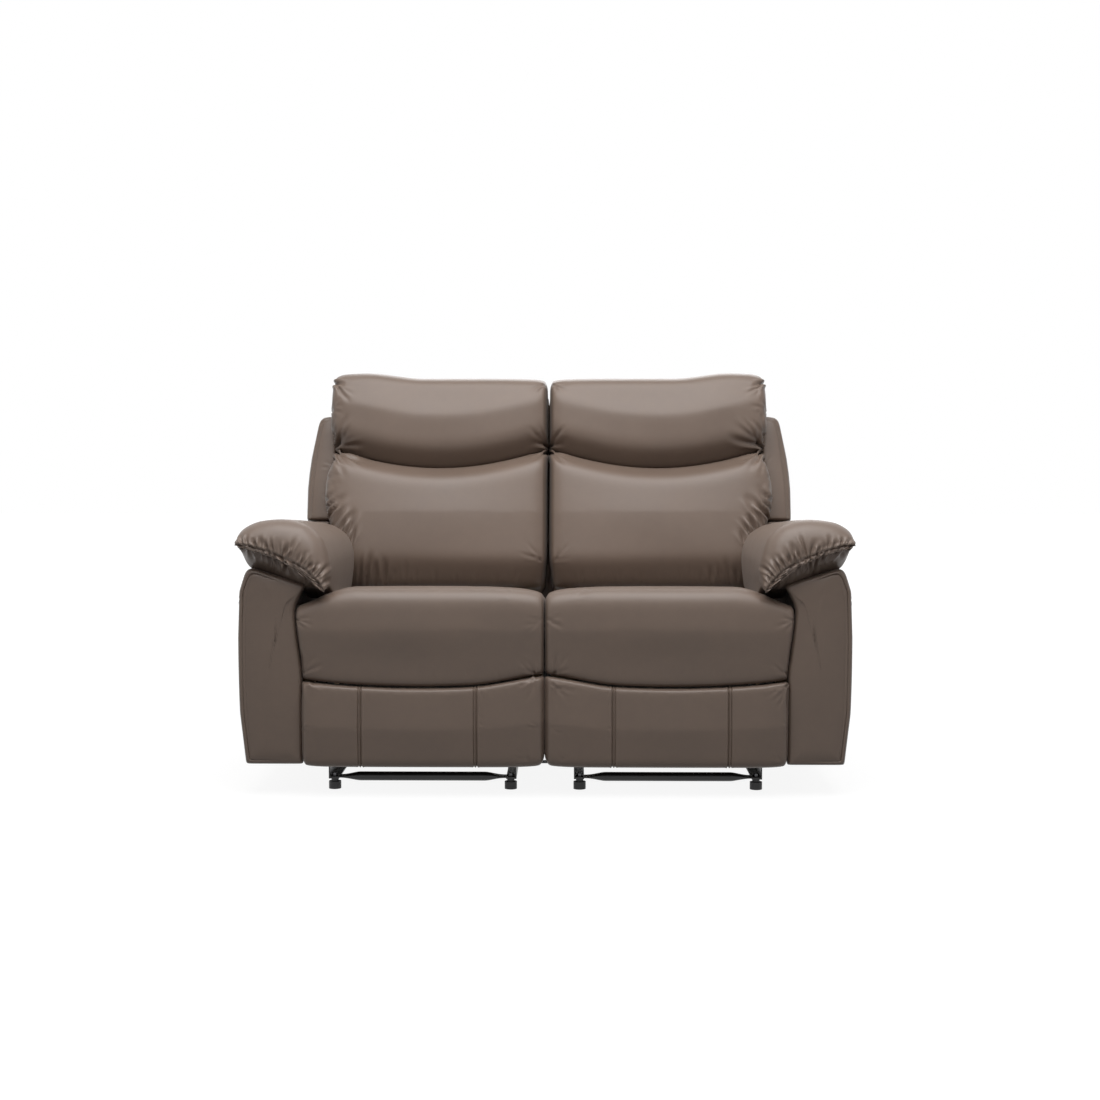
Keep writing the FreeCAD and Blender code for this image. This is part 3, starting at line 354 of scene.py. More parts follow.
def cornerArcs(corners, radii):
    # Start, corner and end of the bend at each corner of a closed outline.
    found = []
    count = len(corners)
    for i, corner in enumerate(corners):
        before = corners[i - 1] - corner
        after = corners[(i + 1) % count] - corner
        shorter = min(np.linalg.norm(before), np.linalg.norm(after))
        before, after = before / np.linalg.norm(before), after / np.linalg.norm(after)
        half = math.acos(float(np.clip(before @ after, -1, 1))) / 2
        reach = min(radii[i] / math.tan(half), 0.48 * shorter)
        found.append((corner + before * reach, corner, corner + after * reach))
    return found


def outlineCounts(corners, radii, spacing):
    corners = np.asarray(corners, float)
    arcs = cornerArcs(corners, radii)
    counts = []
    for i, (start, corner, end) in enumerate(arcs):
        nextStart = arcs[(i + 1) % len(arcs)][0]
        bend = np.linalg.norm(start - corner) + np.linalg.norm(end - corner)
        run = np.linalg.norm(nextStart - end)
        counts.append((max(3, round(bend * 0.8 / spacing)), max(1, round(run / spacing))))
    return counts


def outlinePoints(corners, radii, counts):
    # The outline's points: each corner is a smooth bend, with the same number of points on every section.
    corners = np.asarray(corners, float)
    arcs = cornerArcs(corners, radii)
    points = []
    for i, (start, corner, end) in enumerate(arcs):
        bendCount, runCount = counts[i]
        nextStart = arcs[(i + 1) % len(arcs)][0]
        for step in range(bendCount):
            t = step / bendCount
            points.append((1 - t) ** 2 * start + 2 * t * (1 - t) * corner + t * t * end)
        for step in range(runCount):
            points.append(end + (nextStart - end) * step / runCount)
    return np.array(points)


def softenRing(points, passes):
    for _ in range(passes):
        points = 0.5 * points + 0.25 * (np.roll(points, 1, 0) + np.roll(points, -1, 0))
    return points


def ringMesh(name, rings, capRings=6):
    # A closed skin through equal rings, each end closed by rings that shrink to a pole.
    rings = np.asarray(rings, float)
    many, count = rings.shape[:2]
    points = [rings.reshape(-1, 3)]
    faces = []
    following = (np.arange(count) + 1) % count
    for row in range(many - 1):
        low, high = row * count, (row + 1) * count
        faces += [(low + i, low + following[i], high + following[i], high + i) for i in range(count)]
    total = many * count
    for ring, row, flip in ((rings[0], 0, True), (rings[-1], many - 1, False)):
        centre = ring.mean(0)
        last = row * count
        for step in range(1, capRings + 1):
            shrink = 1 - step / (capRings + 1)
            points.append(centre + (ring - centre) * shrink)
            new = total
            for i in range(count):
                quad = (last + i, last + following[i], new + following[i], new + i)
                faces.append(quad[::-1] if flip else quad)
            last, total = new, total + count
        points.append(centre[None])
        for i in range(count):
            side = (last + i, last + following[i], total)
            faces.append(side[::-1] if flip else side)
        total += 1
    points = np.concatenate(points)
    first = points[[f[0] for f in faces]]
    second = points[[f[1] for f in faces]]
    third = points[[f[2] for f in faces]]
    volume = (first * np.cross(second, third)).sum()
    if volume < 0:
        faces = [face[::-1] for face in faces]
    mesh = bpy.data.meshes.new(name)
    mesh.from_pydata(points.tolist(), [], [tuple(int(i) for i in face) for face in faces])
    mesh.polygons.foreach_set("use_smooth", [True] * len(mesh.polygons))
    mesh.update()
    return addObject(name, mesh)


def vertexArray(mesh):
    co = np.zeros(len(mesh.vertices) * 3)
    mesh.vertices.foreach_get("co", co)
    return co.reshape(-1, 3)


def normalArray(mesh):
    found = np.zeros(len(mesh.vertices) * 3)
    mesh.vertex_normals.foreach_get("vector", found)
    return found.reshape(-1, 3)


def setVertices(mesh, co):
    mesh.vertices.foreach_set("co", np.ascontiguousarray(co, dtype=np.float32).ravel())
    mesh.update()


def bakeModifiers(piece):
    # The piece's modifiers become its mesh.
    depsgraph = bpy.context.evaluated_depsgraph_get()
    depsgraph.update()
    made = bpy.data.meshes.new_from_object(piece.evaluated_get(depsgraph), depsgraph=depsgraph)
    old = piece.data
    piece.modifiers.clear()
    piece.data = made
    made.name = piece.name
    bpy.data.meshes.remove(old)


def refine(piece):
    finer = piece.modifiers.new("finer", "SUBSURF")
    finer.levels = finer.render_levels = 1
    bakeModifiers(piece)


def pathDistance(flat, path):
    # Distance of each flat point to a path.
    path = np.asarray(path, float)
    best = np.full(len(flat), 1e9)
    lengths = np.linalg.norm(np.diff(path, axis=0), axis=1)
    for k, length in enumerate(lengths):
        step = (path[k + 1] - path[k]) / length
        along = np.clip((flat - path[k]) @ step, 0, length)
        best = np.minimum(best, np.linalg.norm(flat - path[k] - along[:, None] * step, axis=1))
    return best


def smoothPath(points, count):
    # A curve through given points, evenly stepped.
    points = np.asarray(points, float)
    padded = np.concatenate([[2 * points[0] - points[1]], points, [2 * points[-1] - points[-2]]])
    fine = []
    for k in range(1, len(padded) - 2):
        a, b, c, d = padded[k - 1:k + 3]
        for t in np.linspace(0, 1, 24, endpoint=False):
            fine.append(0.5 * (2 * b + (c - a) * t + (2 * a - 5 * b + 4 * c - d) * t * t
                               + (3 * b - a - 3 * c + d) * t ** 3))
    fine.append(points[-1])
    fine = np.array(fine)
    run = np.concatenate([[0], np.cumsum(np.linalg.norm(np.diff(fine, axis=0), axis=1))])
    wanted = np.linspace(0, run[-1], count)
    return np.stack([np.interp(wanted, run, fine[:, k]) for k in range(fine.shape[1])], 1)


def fan(at, toward, spread, count, length, width, depth, dice, skip=0.0):
    # Creases that spread out from one point of a seam. Angles in degrees in the panel's own plane.
    lines = []
    for k in range(count):
        share = k / (count - 1) - 0.5 if count > 1 else 0.0
        angle = math.radians(toward + spread * share + dice.uniform(-0.22, 0.22) * spread / max(1, count - 1))
        head = np.array((math.cos(angle), math.sin(angle)))
        start = np.array(at) + head * (skip + dice.uniform(0, 0.004))
        lines.append((start, head, length * dice.uniform(0.6, 1.15), width * dice.uniform(0.75, 1.25),
                      depth * dice.uniform(0.6, 1.15), dice.uniform(-0.25, 0.25)))
    return lines


def gathers(path, pitch, turn, length, width, depth, dice, first=0.0, last=1.0, skip=0.001):
    # Short creases along a gathered seam, turned from the seam's own direction by turn degrees.
    path = smoothPath(path, 60)
    steps = np.diff(path, axis=0)
    total = np.linalg.norm(steps, axis=1).sum()
    lines = []
    place = first * total
    while place < last * total:
        k = min(len(steps) - 1, int(place / total * len(steps)))
        direction = steps[k] / np.linalg.norm(steps[k])
        angle = math.radians(turn + dice.uniform(-14, 14))
        head = np.array((direction[0] * math.cos(angle) - direction[1] * math.sin(angle),
                         direction[0] * math.sin(angle) + direction[1] * math.cos(angle)))
        ends = math.sin(math.pi * min(1.0, max(0.0, place / total))) ** 0.35
        lines.append((path[k] + head * skip, head, length * dice.uniform(0.45, 1.2) * ends,
                      width * dice.uniform(0.7, 1.3), depth * dice.uniform(0.5, 1.2),
                      dice.uniform(-0.3, 0.3)))
        place += pitch * dice.uniform(0.7, 1.35)
    return lines


def panelView(piece, origin, across, upward, facing, least):
    # Flat coordinates of the vertices on one panel, with how squarely each one faces it.
    co, normals = vertexArray(piece.data), normalArray(piece.data)
    flat = np.stack([(co - origin) @ np.asarray(across), (co - origin) @ np.asarray(upward)], 1)
    square = smoothStep(least, min(1.0, least + 0.35), normals @ np.asarray(facing, float))
    return co, normals, flat, square


def press(piece, view, lines=(), seams=(), swells=()):
    # Moves vertices along their normals: creases, sewn seams and soft swellings, all in the panel's plane.
    co, normals, flat, square = view
    move = np.zeros(len(co))
    for start, head, length, width, depth, bend in lines:
        away = flat - start
        t = away @ head / length
        near = (t > -0.25) & (t < 1.05) & (square > 0)
        t = t[near]
        cross = away[near] @ np.array((-head[1], head[0])) - bend * length * np.clip(t, 0, 1) ** 2 * 0.5
        wide = width * (0.45 + 0.9 * np.clip(t, 0, 1))
        fade = smoothStep(-0.2, 0.06, t) * (1 - smoothStep(0.25, 1.0, t))
        valley = np.exp(-(np.abs(cross) / wide) ** 1.4)
        ridge = np.exp(-((np.abs(cross) - 1.9 * wide) / (0.95 * wide)) ** 2)
        move[near] += depth * fade * (0.5 * ridge - valley)
    for path, width, depth, puff in seams:
        gap = pathDistance(flat, path)
        beside = np.exp(-((gap - 2.8 * width) / (1.4 * width)) ** 2)
        move += -depth * np.exp(-(gap / width) ** 1.6) + puff * beside
    for at, wide, tall, rise in swells:
        away = flat - np.array(at)
        move += rise * np.exp(-(away[:, 0] / wide) ** 2 - (away[:, 1] / tall) ** 2)
    setVertices(piece.data, co + normals * (move * square)[:, None])


clothSetup = {"pressure": 4.0, "frames": 16, "grow": -0.018, "quality": 4, "bend": 0.25, "stiff": 12.0,
              "shear": 4.0, "mass": 0.2, "pin": 1.0, "evenings": 10}


def evenOut(mesh, field, passes):
    # Averages a value over neighbouring vertices, so that the swell stays and its finest wrinkles go.
    edges = np.zeros(len(mesh.edges) * 2, dtype=int)
    mesh.edges.foreach_get("vertices", edges)
    edges = edges.reshape(-1, 2)
    beside = np.bincount(edges.ravel(), minlength=len(field))[:, None]
    for _ in range(passes):
        total = np.zeros_like(field)
        for a, b in ((0, 1), (1, 0)):
            for axis in range(field.shape[1]):
                nearby = field[edges[:, b], axis]
                total[:, axis] += np.bincount(edges[:, a], weights=nearby, minlength=len(field))
        field = 0.5 * field + 0.5 * total / np.maximum(beside, 1)
    return field


def fillWithFoam(piece, hold, cap, grow=None):
    # Cloth under pressure: hold is 1 where the skin is sewn down and small where it is free.
    # Cap limits how far a point may move.
    scene = bpy.context.scene
    hold = np.round(np.clip(hold, 0, 1), 2)
    group = piece.vertex_groups.new(name="sewnDown")
    for weight in np.unique(hold):
        group.add([int(i) for i in np.nonzero(hold == weight)[0]], float(weight), "REPLACE")
    start = vertexArray(piece.data)
    cloth = piece.modifiers.new("cloth", "CLOTH")
    setup = cloth.settings
    setup.quality = clothSetup["quality"]
    setup.mass = clothSetup["mass"]
    setup.tension_stiffness = setup.compression_stiffness = clothSetup["stiff"]
    setup.shear_stiffness = clothSetup["shear"]
    setup.bending_stiffness = clothSetup["bend"]
    setup.vertex_group_mass = "sewnDown"
    setup.pin_stiffness = clothSetup["pin"]
    setup.use_pressure = True
    setup.uniform_pressure_force = clothSetup["pressure"]
    setup.shrink_min = clothSetup["grow"] if grow is None else grow
    setup.effector_weights.gravity = 0.0
    cloth.collision_settings.use_collision = False
    cloth.point_cache.frame_start, cloth.point_cache.frame_end = 1, clothSetup["frames"]
    for number in range(1, clothSetup["frames"] + 1):
        scene.frame_set(number)
    depsgraph = bpy.context.evaluated_depsgraph_get()
    made = bpy.data.meshes.new_from_object(piece.evaluated_get(depsgraph), depsgraph=depsgraph)
    end = vertexArray(made)
    bpy.data.meshes.remove(made)
    piece.modifiers.clear()
    piece.vertex_groups.clear()
    scene.frame_set(1)
    travel = end - start
    length = np.linalg.norm(travel, axis=1)
    share = np.minimum(1.0, cap / np.maximum(length, 1e-9))
    setVertices(piece.data, start + evenOut(piece.data, travel * share[:, None], clothSetup["evenings"]))
    print(f"  {piece.name}: cloth moved {1000 * length.mean():.1f} mm on average,",
          f"{1000 * length.max():.1f} at most", flush=True)


# How sections crowd to the ends, and lie beside a seam: reach and clear are in metres.
sectionSetup = {"crowded": 0.35, "seamReach": 0.0108, "seamCount": 19, "seamClear": 0.004}


def sectionShares(count, seams=(), half=1.0):
    # Places from -1 to 1, closer together towards the two ends and beside each seam.
    crowded, reach = sectionSetup["crowded"], sectionSetup["seamReach"]
    clear = sectionSetup["seamClear"] / half
    shares = [math.sin(math.radians(-90 + 180 * step / (count - 1))) * crowded
              + (-1 + 2 * step / (count - 1)) * (1 - crowded) for step in range(count)]
    for seam in seams:
        close = [seam + offset / half for offset in np.linspace(-reach, reach, sectionSetup["seamCount"])]
        shares = [share for share in shares if not close[0] - clear < share < close[-1] + clear]
        shares += close
    return sorted(shares)


def crossPillow(name, centre, half, shares, spacing, profile, place, soften):
    # A pillow made of sections across the seat: profile(share) gives corners and radii.
    counts = outlineCounts(*profile(0.0), spacing)
    rings = []
    for share in shares:
        outline = softenRing(outlinePoints(*profile(share), counts), soften)
        rings.append([place(centre + share * half, point) for point in outline])
    return ringMesh(name, rings)


def finishSoft(piece, body, node):
    piece.data.materials.append(materials["hide"])
    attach(piece, body)
    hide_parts(node)


def middleAndHalf(low, high):
    return (low.x + high.x) / 2, (high.x - low.x) / 2


def jointPlace(name):
    return np.array([joint for joint in frame["joints"] if joint["name"] == name][0]["pos_m"])


# Sewing: rows of stitches follow a seam on the finished skin

stitchSetup = {"pitch": 0.0042, "long": 0.0030, "thick": 0.0009, "proud": 0.0002}


def stitchTree():
    # Curves in, stitches out: one small thread loop for each step along the row.
    tree = bpy.data.node_groups.new("stitchRow", "GeometryNodeTree")
    tree.interface.new_socket(name="Rows", in_out="INPUT", socket_type="NodeSocketGeometry")
    for label in ("Pitch", "Long", "Thick"):
        tree.interface.new_socket(name=label, in_out="INPUT", socket_type="NodeSocketFloat")
    tree.interface.new_socket(name="Thread", in_out="INPUT", socket_type="NodeSocketMaterial")
    tree.interface.new_socket(name="Stitches", in_out="OUTPUT", socket_type="NodeSocketGeometry")
    given, made = tree.nodes.new("NodeGroupInput"), tree.nodes.new("NodeGroupOutput")
    steps = tree.nodes.new("GeometryNodeResampleCurve")
    steps.mode = "LENGTH"
    link(tree, given.outputs["Rows"], steps.inputs["Curve"])
    link(tree, given.outputs["Pitch"], steps.inputs["Length"])
    tangent = tree.nodes.new("GeometryNodeInputTangent")
    turn = tree.nodes.new("FunctionNodeAlignRotationToVector")
    turn.axis = "X"
    link(tree, tangent.outputs[0], turn.inputs["Vector"])
    loop = tree.nodes.new("GeometryNodeMeshUVSphere")
    loop.inputs["Segments"].default_value = 6
    loop.inputs["Rings"].default_value = 4
    loop.inputs["Radius"].default_value = 0.5
    shape = tree.nodes.new("ShaderNodeCombineXYZ")
    link(tree, given.outputs["Long"], shape.inputs["X"])
    link(tree, given.outputs["Thick"], shape.inputs["Y"])
    link(tree, given.outputs["Thick"], shape.inputs["Z"])
    spread = tree.nodes.new("GeometryNodeInstanceOnPoints")
    link(tree, steps.outputs[0], spread.inputs["Points"])
    link(tree, loop.outputs["Mesh"], spread.inputs["Instance"])
    link(tree, turn.outputs[0], spread.inputs["Rotation"])
    link(tree, shape.outputs[0], spread.inputs["Scale"])
    real = tree.nodes.new("GeometryNodeRealizeInstances")
    link(tree, spread.outputs[0], real.inputs[0])
    finish = tree.nodes.new("GeometryNodeSetMaterial")
    link(tree, real.outputs[0], finish.inputs["Geometry"])
    link(tree, given.outputs["Thread"], finish.inputs["Material"])
    link(tree, finish.outputs[0], made.inputs[0])
    return tree


stitchRows = {}


def sewRow(piece, body, points, towards):
    # The row's points are dropped on to the piece's skin along a direction and kept for that body.
    direction = Vector(towards).normalized()
    row = []
    for point in points:
        start = Vector(point) - direction * 0.12
        hit, where, normal, _ = piece.ray_cast(start, direction, distance=0.4)
        if hit:
            row.append(where + normal * stitchSetup["proud"])
    if len(row) > 3:
        stitchRows.setdefault(body, []).append(row)


def makeStitches():
    tree = stitchTree()
    sockets = {item.name: item.identifier for item in tree.interface.items_tree if item.in_out == "INPUT"}
    for body, rows in stitchRows.items():
        curve = bpy.data.curves.new(f"seam_rows_{body}", "CURVE")
        curve.dimensions = "3D"
        for row in rows:
            spline = curve.splines.new("POLY")
            spline.points.add(len(row) - 1)
            for place, point in zip(spline.points, row):
                place.co = (*point, 1.0)
        piece = addObject(f"stitch_source_{body}", curve)
        sewing = piece.modifiers.new("stitches", "NODES")
        sewing.node_group = tree
        for label in ("Pitch", "Long", "Thick"):
            sewing[sockets[label]] = stitchSetup[label.lower()]
        sewing[sockets["Thread"]] = materials["thread"]
        depsgraph = bpy.context.evaluated_depsgraph_get()
        depsgraph.update()
        mesh = bpy.data.meshes.new_from_object(piece.evaluated_get(depsgraph), depsgraph=depsgraph)
        mesh.name = f"stitches_{body}"
        made = addObject(f"stitches_{body}", mesh)
        bpy.data.objects.remove(piece)
        if not mesh.materials:
            mesh.materials.append(materials["thread"])
        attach(made, body)


# Seat

seatShape = {
    "spacing": 0.0105, "sections": 66, "noseLow": 0.2615, "noseDip": 0.017, "innerLift": 0.013,
    "crest": 0.4975, "cornerDrop": 0.020, "outerFall": 0.036, "innerFall": 0.009, "slabTop": 0.434,
    "crown": 0.012, "taper": 0.017, "swell": 0.005, "hold": 0.3, "meet": 0.0022}


def noseLine(outward):
    # Height of the nose's lower edge from the inner end, -1, to the outer end, 1.
    lift = seatShape["innerLift"] * float(smoothStep(-0.4, -1.0, outward))
    return seatShape["noseLow"] + seatShape["noseDip"] * outward * outward + lift


def makeSeatCushion(side, sign):
    dice = random.Random(f"seat {side}")
    low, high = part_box(f"seat_cushion_{side}")
    centre, half = middleAndHalf(low, high)
    crest = seatShape["crest"]
    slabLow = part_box(f"seat_springs_{side}")[1].z + 0.004

    def profile(share):
        end = pullIn(share, 5)
        crown = 1 - share * share
        outward = share * sign
        front = low.y + 0.006 + 0.020 * end
        noseLow = noseLine(outward) + 0.003 * end
        under = slabLow + 0.006 * end
        fall = seatShape["outerFall"] * float(smoothStep(0.50, 1.0, outward)) ** 1.3
        fall += seatShape["innerFall"] * max(0.0, -outward) ** 8
        drop = seatShape["cornerDrop"] * end + fall
        corners = [(high.y - 0.02 * end, under), (low.y + 0.064, under), (low.y + 0.062, noseLow + 0.006),
                   (front + 0.008, noseLow), (front, 0.40), (front + 0.010, crest + 0.002 - drop),
                   (low.y + 0.13, crest - 0.006 - drop + 0.004 * crown),
                   (high.y - 0.02 * end, seatShape["slabTop"] + seatShape["crown"] * crown - 0.5 * drop)]
        return corners, [0.012, 0.004, 0.006, 0.014, 0.09, 0.050, 0.06, 0.02]

    def place(x, point):
        # The nose draws in towards its lower corners.
        share = (x - centre) / half
        draw = seatShape["taper"] if share * sign > 0 else 0.0
        lower = float(smoothStep(0.47, 0.28, point[1])) if point[0] < low.y + 0.07 else 0.0
        if share * sign < 0:
            # The inner end meets the other seat's.
            draw, lower = -seatShape["meet"], 1.0
        return (x - draw * lower * share * abs(share) ** 5, point[0], point[1])

    piece = crossPillow(f"seat_pillow_{side}", centre, half, sectionShares(seatShape["sections"]),
                        seatShape["spacing"], profile, place, soften=1)
    co = vertexArray(piece.data)
    sewn = np.maximum.reduce([
        smoothStep(slabLow + 0.05, slabLow + 0.02, co[:, 2]) * (co[:, 1] > low.y + 0.06),
        smoothStep(low.z + 0.045, low.z + 0.020, co[:, 2]),
        smoothStep(0.93, 0.985, np.abs(co[:, 0] - centre) / half)])
    fillWithFoam(piece, seatShape["hold"] + (1 - seatShape["hold"]) * sewn, seatShape["swell"])
    refine(piece)
    nose = panelView(piece, (centre, 0, 0), (1, 0, 0), (0, 0, 1), (0, -0.94, 0.34), 0.1)
    bottom = seatShape["noseLow"]
    lines = []
    for end in (-1, 1):
        inward = 180 if end > 0 else 0
        # Puckers where the lower corners are drawn in, and short folds below the rounded upper corners.
        lines += fan((end * (half - 0.020), bottom + 0.034), inward - end * 55, 62, 5, 0.055, 0.0040, 0.0030,
                     dice)
        lines += fan((end * (half - 0.006), 0.425), inward + end * 20, 60, 3, 0.045, 0.0042, 0.0020, dice)
    for spot, deep in ((-0.74, 0.0026), (-0.70, 0.0022), (0.76, 0.0020), (0.72, 0.0024)):
        lines += fan((spot * half * -sign, crest - 0.016), 90 - sign * 62, 1, 1, 0.034, 0.0042, deep, dice)
    for _ in range(4):
        at = (dice.uniform(-0.8, 0.8) * half, bottom + dice.uniform(0.016, 0.03))
        toward = 90 + dice.uniform(-25, 25)
        lines += fan(at, toward, 1, 1, dice.uniform(0.02, 0.04), 0.0045, 0.0009, dice)
    swells = [((0.02 * sign, 0.40), 0.17, 0.05, 0.0025), ((-0.05, 0.33), 0.12, 0.04, -0.0015)]
    press(piece, nose, lines, (), swells)
    sitter = panelView(piece, (centre, 0, 0), (1, 0, 0), (0, 1, 0), (0, 0, 1), 0.55)
    lines = []
    for end in (-1, 1):
        for depth in (-0.30, -0.16, -0.02):
            at = (end * (half - 0.006), depth + dice.uniform(-0.04, 0.04))
            lines += fan(at, 90 + end * 90, 80, 3, 0.05, 0.0045, 0.0014, dice)
    press(piece, sitter, lines, (), [((0, -0.13), 0.16, 0.13, -0.004)])
    finishSoft(piece, f"seat_{side}", f"seat_cushion_{side}")


footrestShape = {
    "underNose": 0.0015, "bottom": 0.0685, "channel": 0.1375, "topstitch": 0.0062, "grooveWide": 0.0015,
    "grooveDeep": 0.0036, "stitchWide": 0.0015, "stitchDeep": 0.0026, "taper": 0.012, "meet": 0.0070}


def makeFootrestPad(side, sign):
    dice = random.Random(f"footrest {side}")
    low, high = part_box(f"footrest_pad_{side}")
    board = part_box(f"footrest_board_{side}")[0].y
    centre, half = middleAndHalf(low, high)
    shape = footrestShape

    def topAt(share):
        return noseLine(share * sign) - shape["underNose"]

    def profile(share):
        end = pullIn(share, 7)
        bottom = shape["bottom"] + 0.022 * end
        top = topAt(share) - 0.002 * end
        front = low.y + 0.003 + 0.020 * end
        # The panel is fuller between its seams.
        across = abs(share) * half
        if across < shape["channel"]:
            fuller = 0.003 * math.cos(math.pi * across / shape["channel"] / 2)
        else:
            fuller = 0.0022 * math.sin(math.pi * (across - shape["channel"]) / (half - shape["channel"]))
        corners = [(board - 0.0005, bottom + 0.003), (board - 0.0005, top), (front + 0.004, top),
                   (front - 0.001 - fuller, (bottom + top) / 2), (front + 0.005, bottom)]
        return corners, [0.004, 0.005, 0.010, 0.08, 0.018]

    def place(x, point):
        # The outer edge draws in; the inner edge meets the other seat's.
        share = (x - centre) / half
        draw = shape["taper"] if share * sign > 0 else -shape["meet"]
        return (x - draw * share * abs(share) ** 5, point[0], point[1])

    seamShares = (-shape["channel"] / half, shape["channel"] / half)
    piece = crossPillow(f"footrest_pillow_{side}", centre, half, sectionShares(54, seamShares, half), 0.009,
                        profile, place, soften=1)
    refine(piece)
    front = panelView(piece, (centre, 0, 0), (1, 0, 0), (0, 0, 1), (0, -1, 0), -0.2)
    lines = []
    for end in (-1, 1):
        lines += fan((end * (half - 0.016), topAt(1.0) - 0.006), 90 + end * 140, 74, 6, 0.060, 0.0036, 0.0034,
                     dice)
        lines += fan((end * (half - 0.030), low.z + 0.02), 90 + end * 50, 50, 3, 0.035, 0.0036, 0.0016, dice)
        lines += fan((end * (half - 0.008), 0.17), 90 + end * 90, 80, 3, 0.03, 0.0036, 0.0012, dice)
    edge = [(spot * half, topAt(spot) - 0.010) for spot in (-0.9, -0.45, 0.0, 0.45, 0.9)]
    lines += gathers(edge, 0.026, -90, 0.030, 0.0036, 0.0014, dice)
    seams, rows = [], []
    for hand in (-1, 1):
        at = hand * shape["channel"]
        row = at + shape["topstitch"] * sign
        groove, beside = [((x, low.z - 0.02), (x, high.z + 0.02)) for x in (at, row)]
        seams.append((groove, shape["grooveWide"], shape["grooveDeep"], 0.0009))
        seams.append((beside, shape["stitchWide"], shape["stitchDeep"], 0.0004))
        rows.append(row)
        for tall in np.arange(low.z + 0.03, high.z - 0.02, 0.024):
            pucker = (at, tall + dice.uniform(-0.006, 0.006))
            lines += fan(pucker, 0 if hand > 0 else 180, 1, 1, 0.014, 0.0035, 0.0008, dice)
    press(piece, front, lines, seams)
    heights = np.linspace(low.z + 0.012, high.z - 0.012, 60)
    for row in rows:
        sewRow(piece, f"footrest_{side}", [(centre + row, low.y - 0.05, z) for z in heights], (0, 1, 0))
    finishSoft(piece, f"footrest_{side}", f"footrest_pad_{side}")


# Back: front is towards the sitter, upward runs up the leaning back

backShape = {
    "lean": math.radians(14), "foot": (0.0, 0.338, 0.450), "rest": 0.0725,
    "seamMiddle": 0.286, "seamRise": 0.056, "lumbarDeep": 0.250, "headDeep": 0.222,
    "lumbarOut": 0.022, "headOut": 0.012, "innerOut": 0.005,
    "headTop": 0.549, "outerRise": 0.016, "hold": 0.34}
backUp = np.array((0.0, math.sin(backShape["lean"]), math.cos(backShape["lean"])))
backFront = np.array((0.0, -math.cos(backShape["lean"]), math.sin(backShape["lean"])))
backFoot = np.array(backShape["foot"])


def inBack(across, front, upward):
    return backFoot + backFront * front + backUp * upward + np.array((across, 0.0, 0.0))


def seamHeight(share):
    return backShape["seamMiddle"] + backShape["seamRise"] * share * share


def makeBackPillows(side, sign):
    dice = random.Random(f"back {side}")
    low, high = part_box(f"lumbar_cushion_{side}")
    centre, half = middleAndHalf(low, high)
    rest = backShape["rest"]

    def lumbarProfile(share):
        end = pullIn(share, 5)
        seam = seamHeight(share)
        deep = rest + (backShape["lumbarDeep"] - rest) * (1 - 0.34 * end)
        bottom = -0.054 + 0.030 * end
        corners = [(rest, bottom), (deep - 0.045, bottom), (deep, 0.02), (deep, 0.15),
                   (deep - 0.010, seam - 0.040), (deep - 0.070, seam), (rest, seam)]
        return corners, [0.01, 0.03, 0.06, 0.08, 0.050, 0.012, 0.006]

    def headProfile(share):
        end = pullIn(share, 6)
        seam = seamHeight(share)
        deep = rest + (backShape["headDeep"] - rest) * (1 - 0.34 * end)
        outer = float(smoothStep(0.15, 0.72, share * sign))
        top = backShape["headTop"] - 0.010 * end + backShape["outerRise"] * outer
        corners = [(rest, seam + 0.002), (deep - 0.055, seam + 0.002), (deep - 0.006, seam + 0.048),
                   (deep, seam + 0.14), (deep - 0.022, top - 0.02), (deep - 0.076, top), (0.026, top - 0.004),
                   (0.026, 0.523), (rest, 0.523)]
        return corners, [0.006, 0.012, 0.05, 0.06, 0.04, 0.04, 0.01, 0.002, 0.002]

    def place(x, point):
        # The outer sides bulge between the corners, in front of the wing.
        share = (x - centre) / half
        tall = point[1]
        if share * sign > 0:
            forward = float(smoothStep(0.132, 0.165, point[0]))
            lower = float(smoothStep(0.09, 0.20, tall) * smoothStep(0.335, 0.23, tall))
            upper = float(smoothStep(0.345, 0.40, tall) * smoothStep(0.56, 0.53, tall))
            out = forward * (backShape["lumbarOut"] * lower + backShape["headOut"] * upper)
        else:
            out = backShape["innerOut"] * float(smoothStep(-0.02, 0.03, tall))
        return inBack(x + math.copysign(out * abs(share) ** 5, share), point[0], point[1])

    # The last three of each: where its end is sewn down, from and to a height, and how far forward.
    pillows = (("lumbar", lumbarProfile, lumbarCreases, 0.75, 0.010, (0.0, -0.02, 1.0)),
               ("head", headProfile, headCreases, 0.7, 0.008, (0.50, 0.53, 0.12)))
    for word, profile, creases, fill, swell, (endLow, endHigh, endFront) in pillows:
        piece = crossPillow(f"{word}_pillow_{side}", centre, half, sectionShares(68), 0.0100, profile, place,
                            soften=2)
        co = vertexArray(piece.data)
        away = co - backFoot
        front, upward = away @ backFront, away @ backUp
        share = (co[:, 0] - centre) / half
        sewn = np.maximum.reduce([
            smoothStep(0.13, 0.10, front),
            smoothStep(0.030, 0.010, np.abs(upward - seamHeight(share))),
            smoothStep(0.92, 0.985, np.abs(share)),
            smoothStep(endLow, endHigh, upward) * (front < endFront)])
        fillWithFoam(piece, backShape["hold"] + (1 - backShape["hold"]) * sewn, swell)
        refine(piece)
        view = panelView(piece, backFoot + np.array((centre, 0, 0)), (1, 0, 0), backUp, backFront, -0.35)
        lines, swells = creases(sign, half, dice)
        press(piece, view, lines, (), swells)
        finishSoft(piece, f"back_{side}", f"{word}_cushion_{side}")


def mirrorLines(sign, lines):
    # Creases are placed for the right-hand seat, with its outer side at positive x.
    if sign > 0:
        return lines
    return [(start * (-1, 1), head * (-1, 1), length, width, depth, -bend)
            for start, head, length, width, depth, bend in lines]


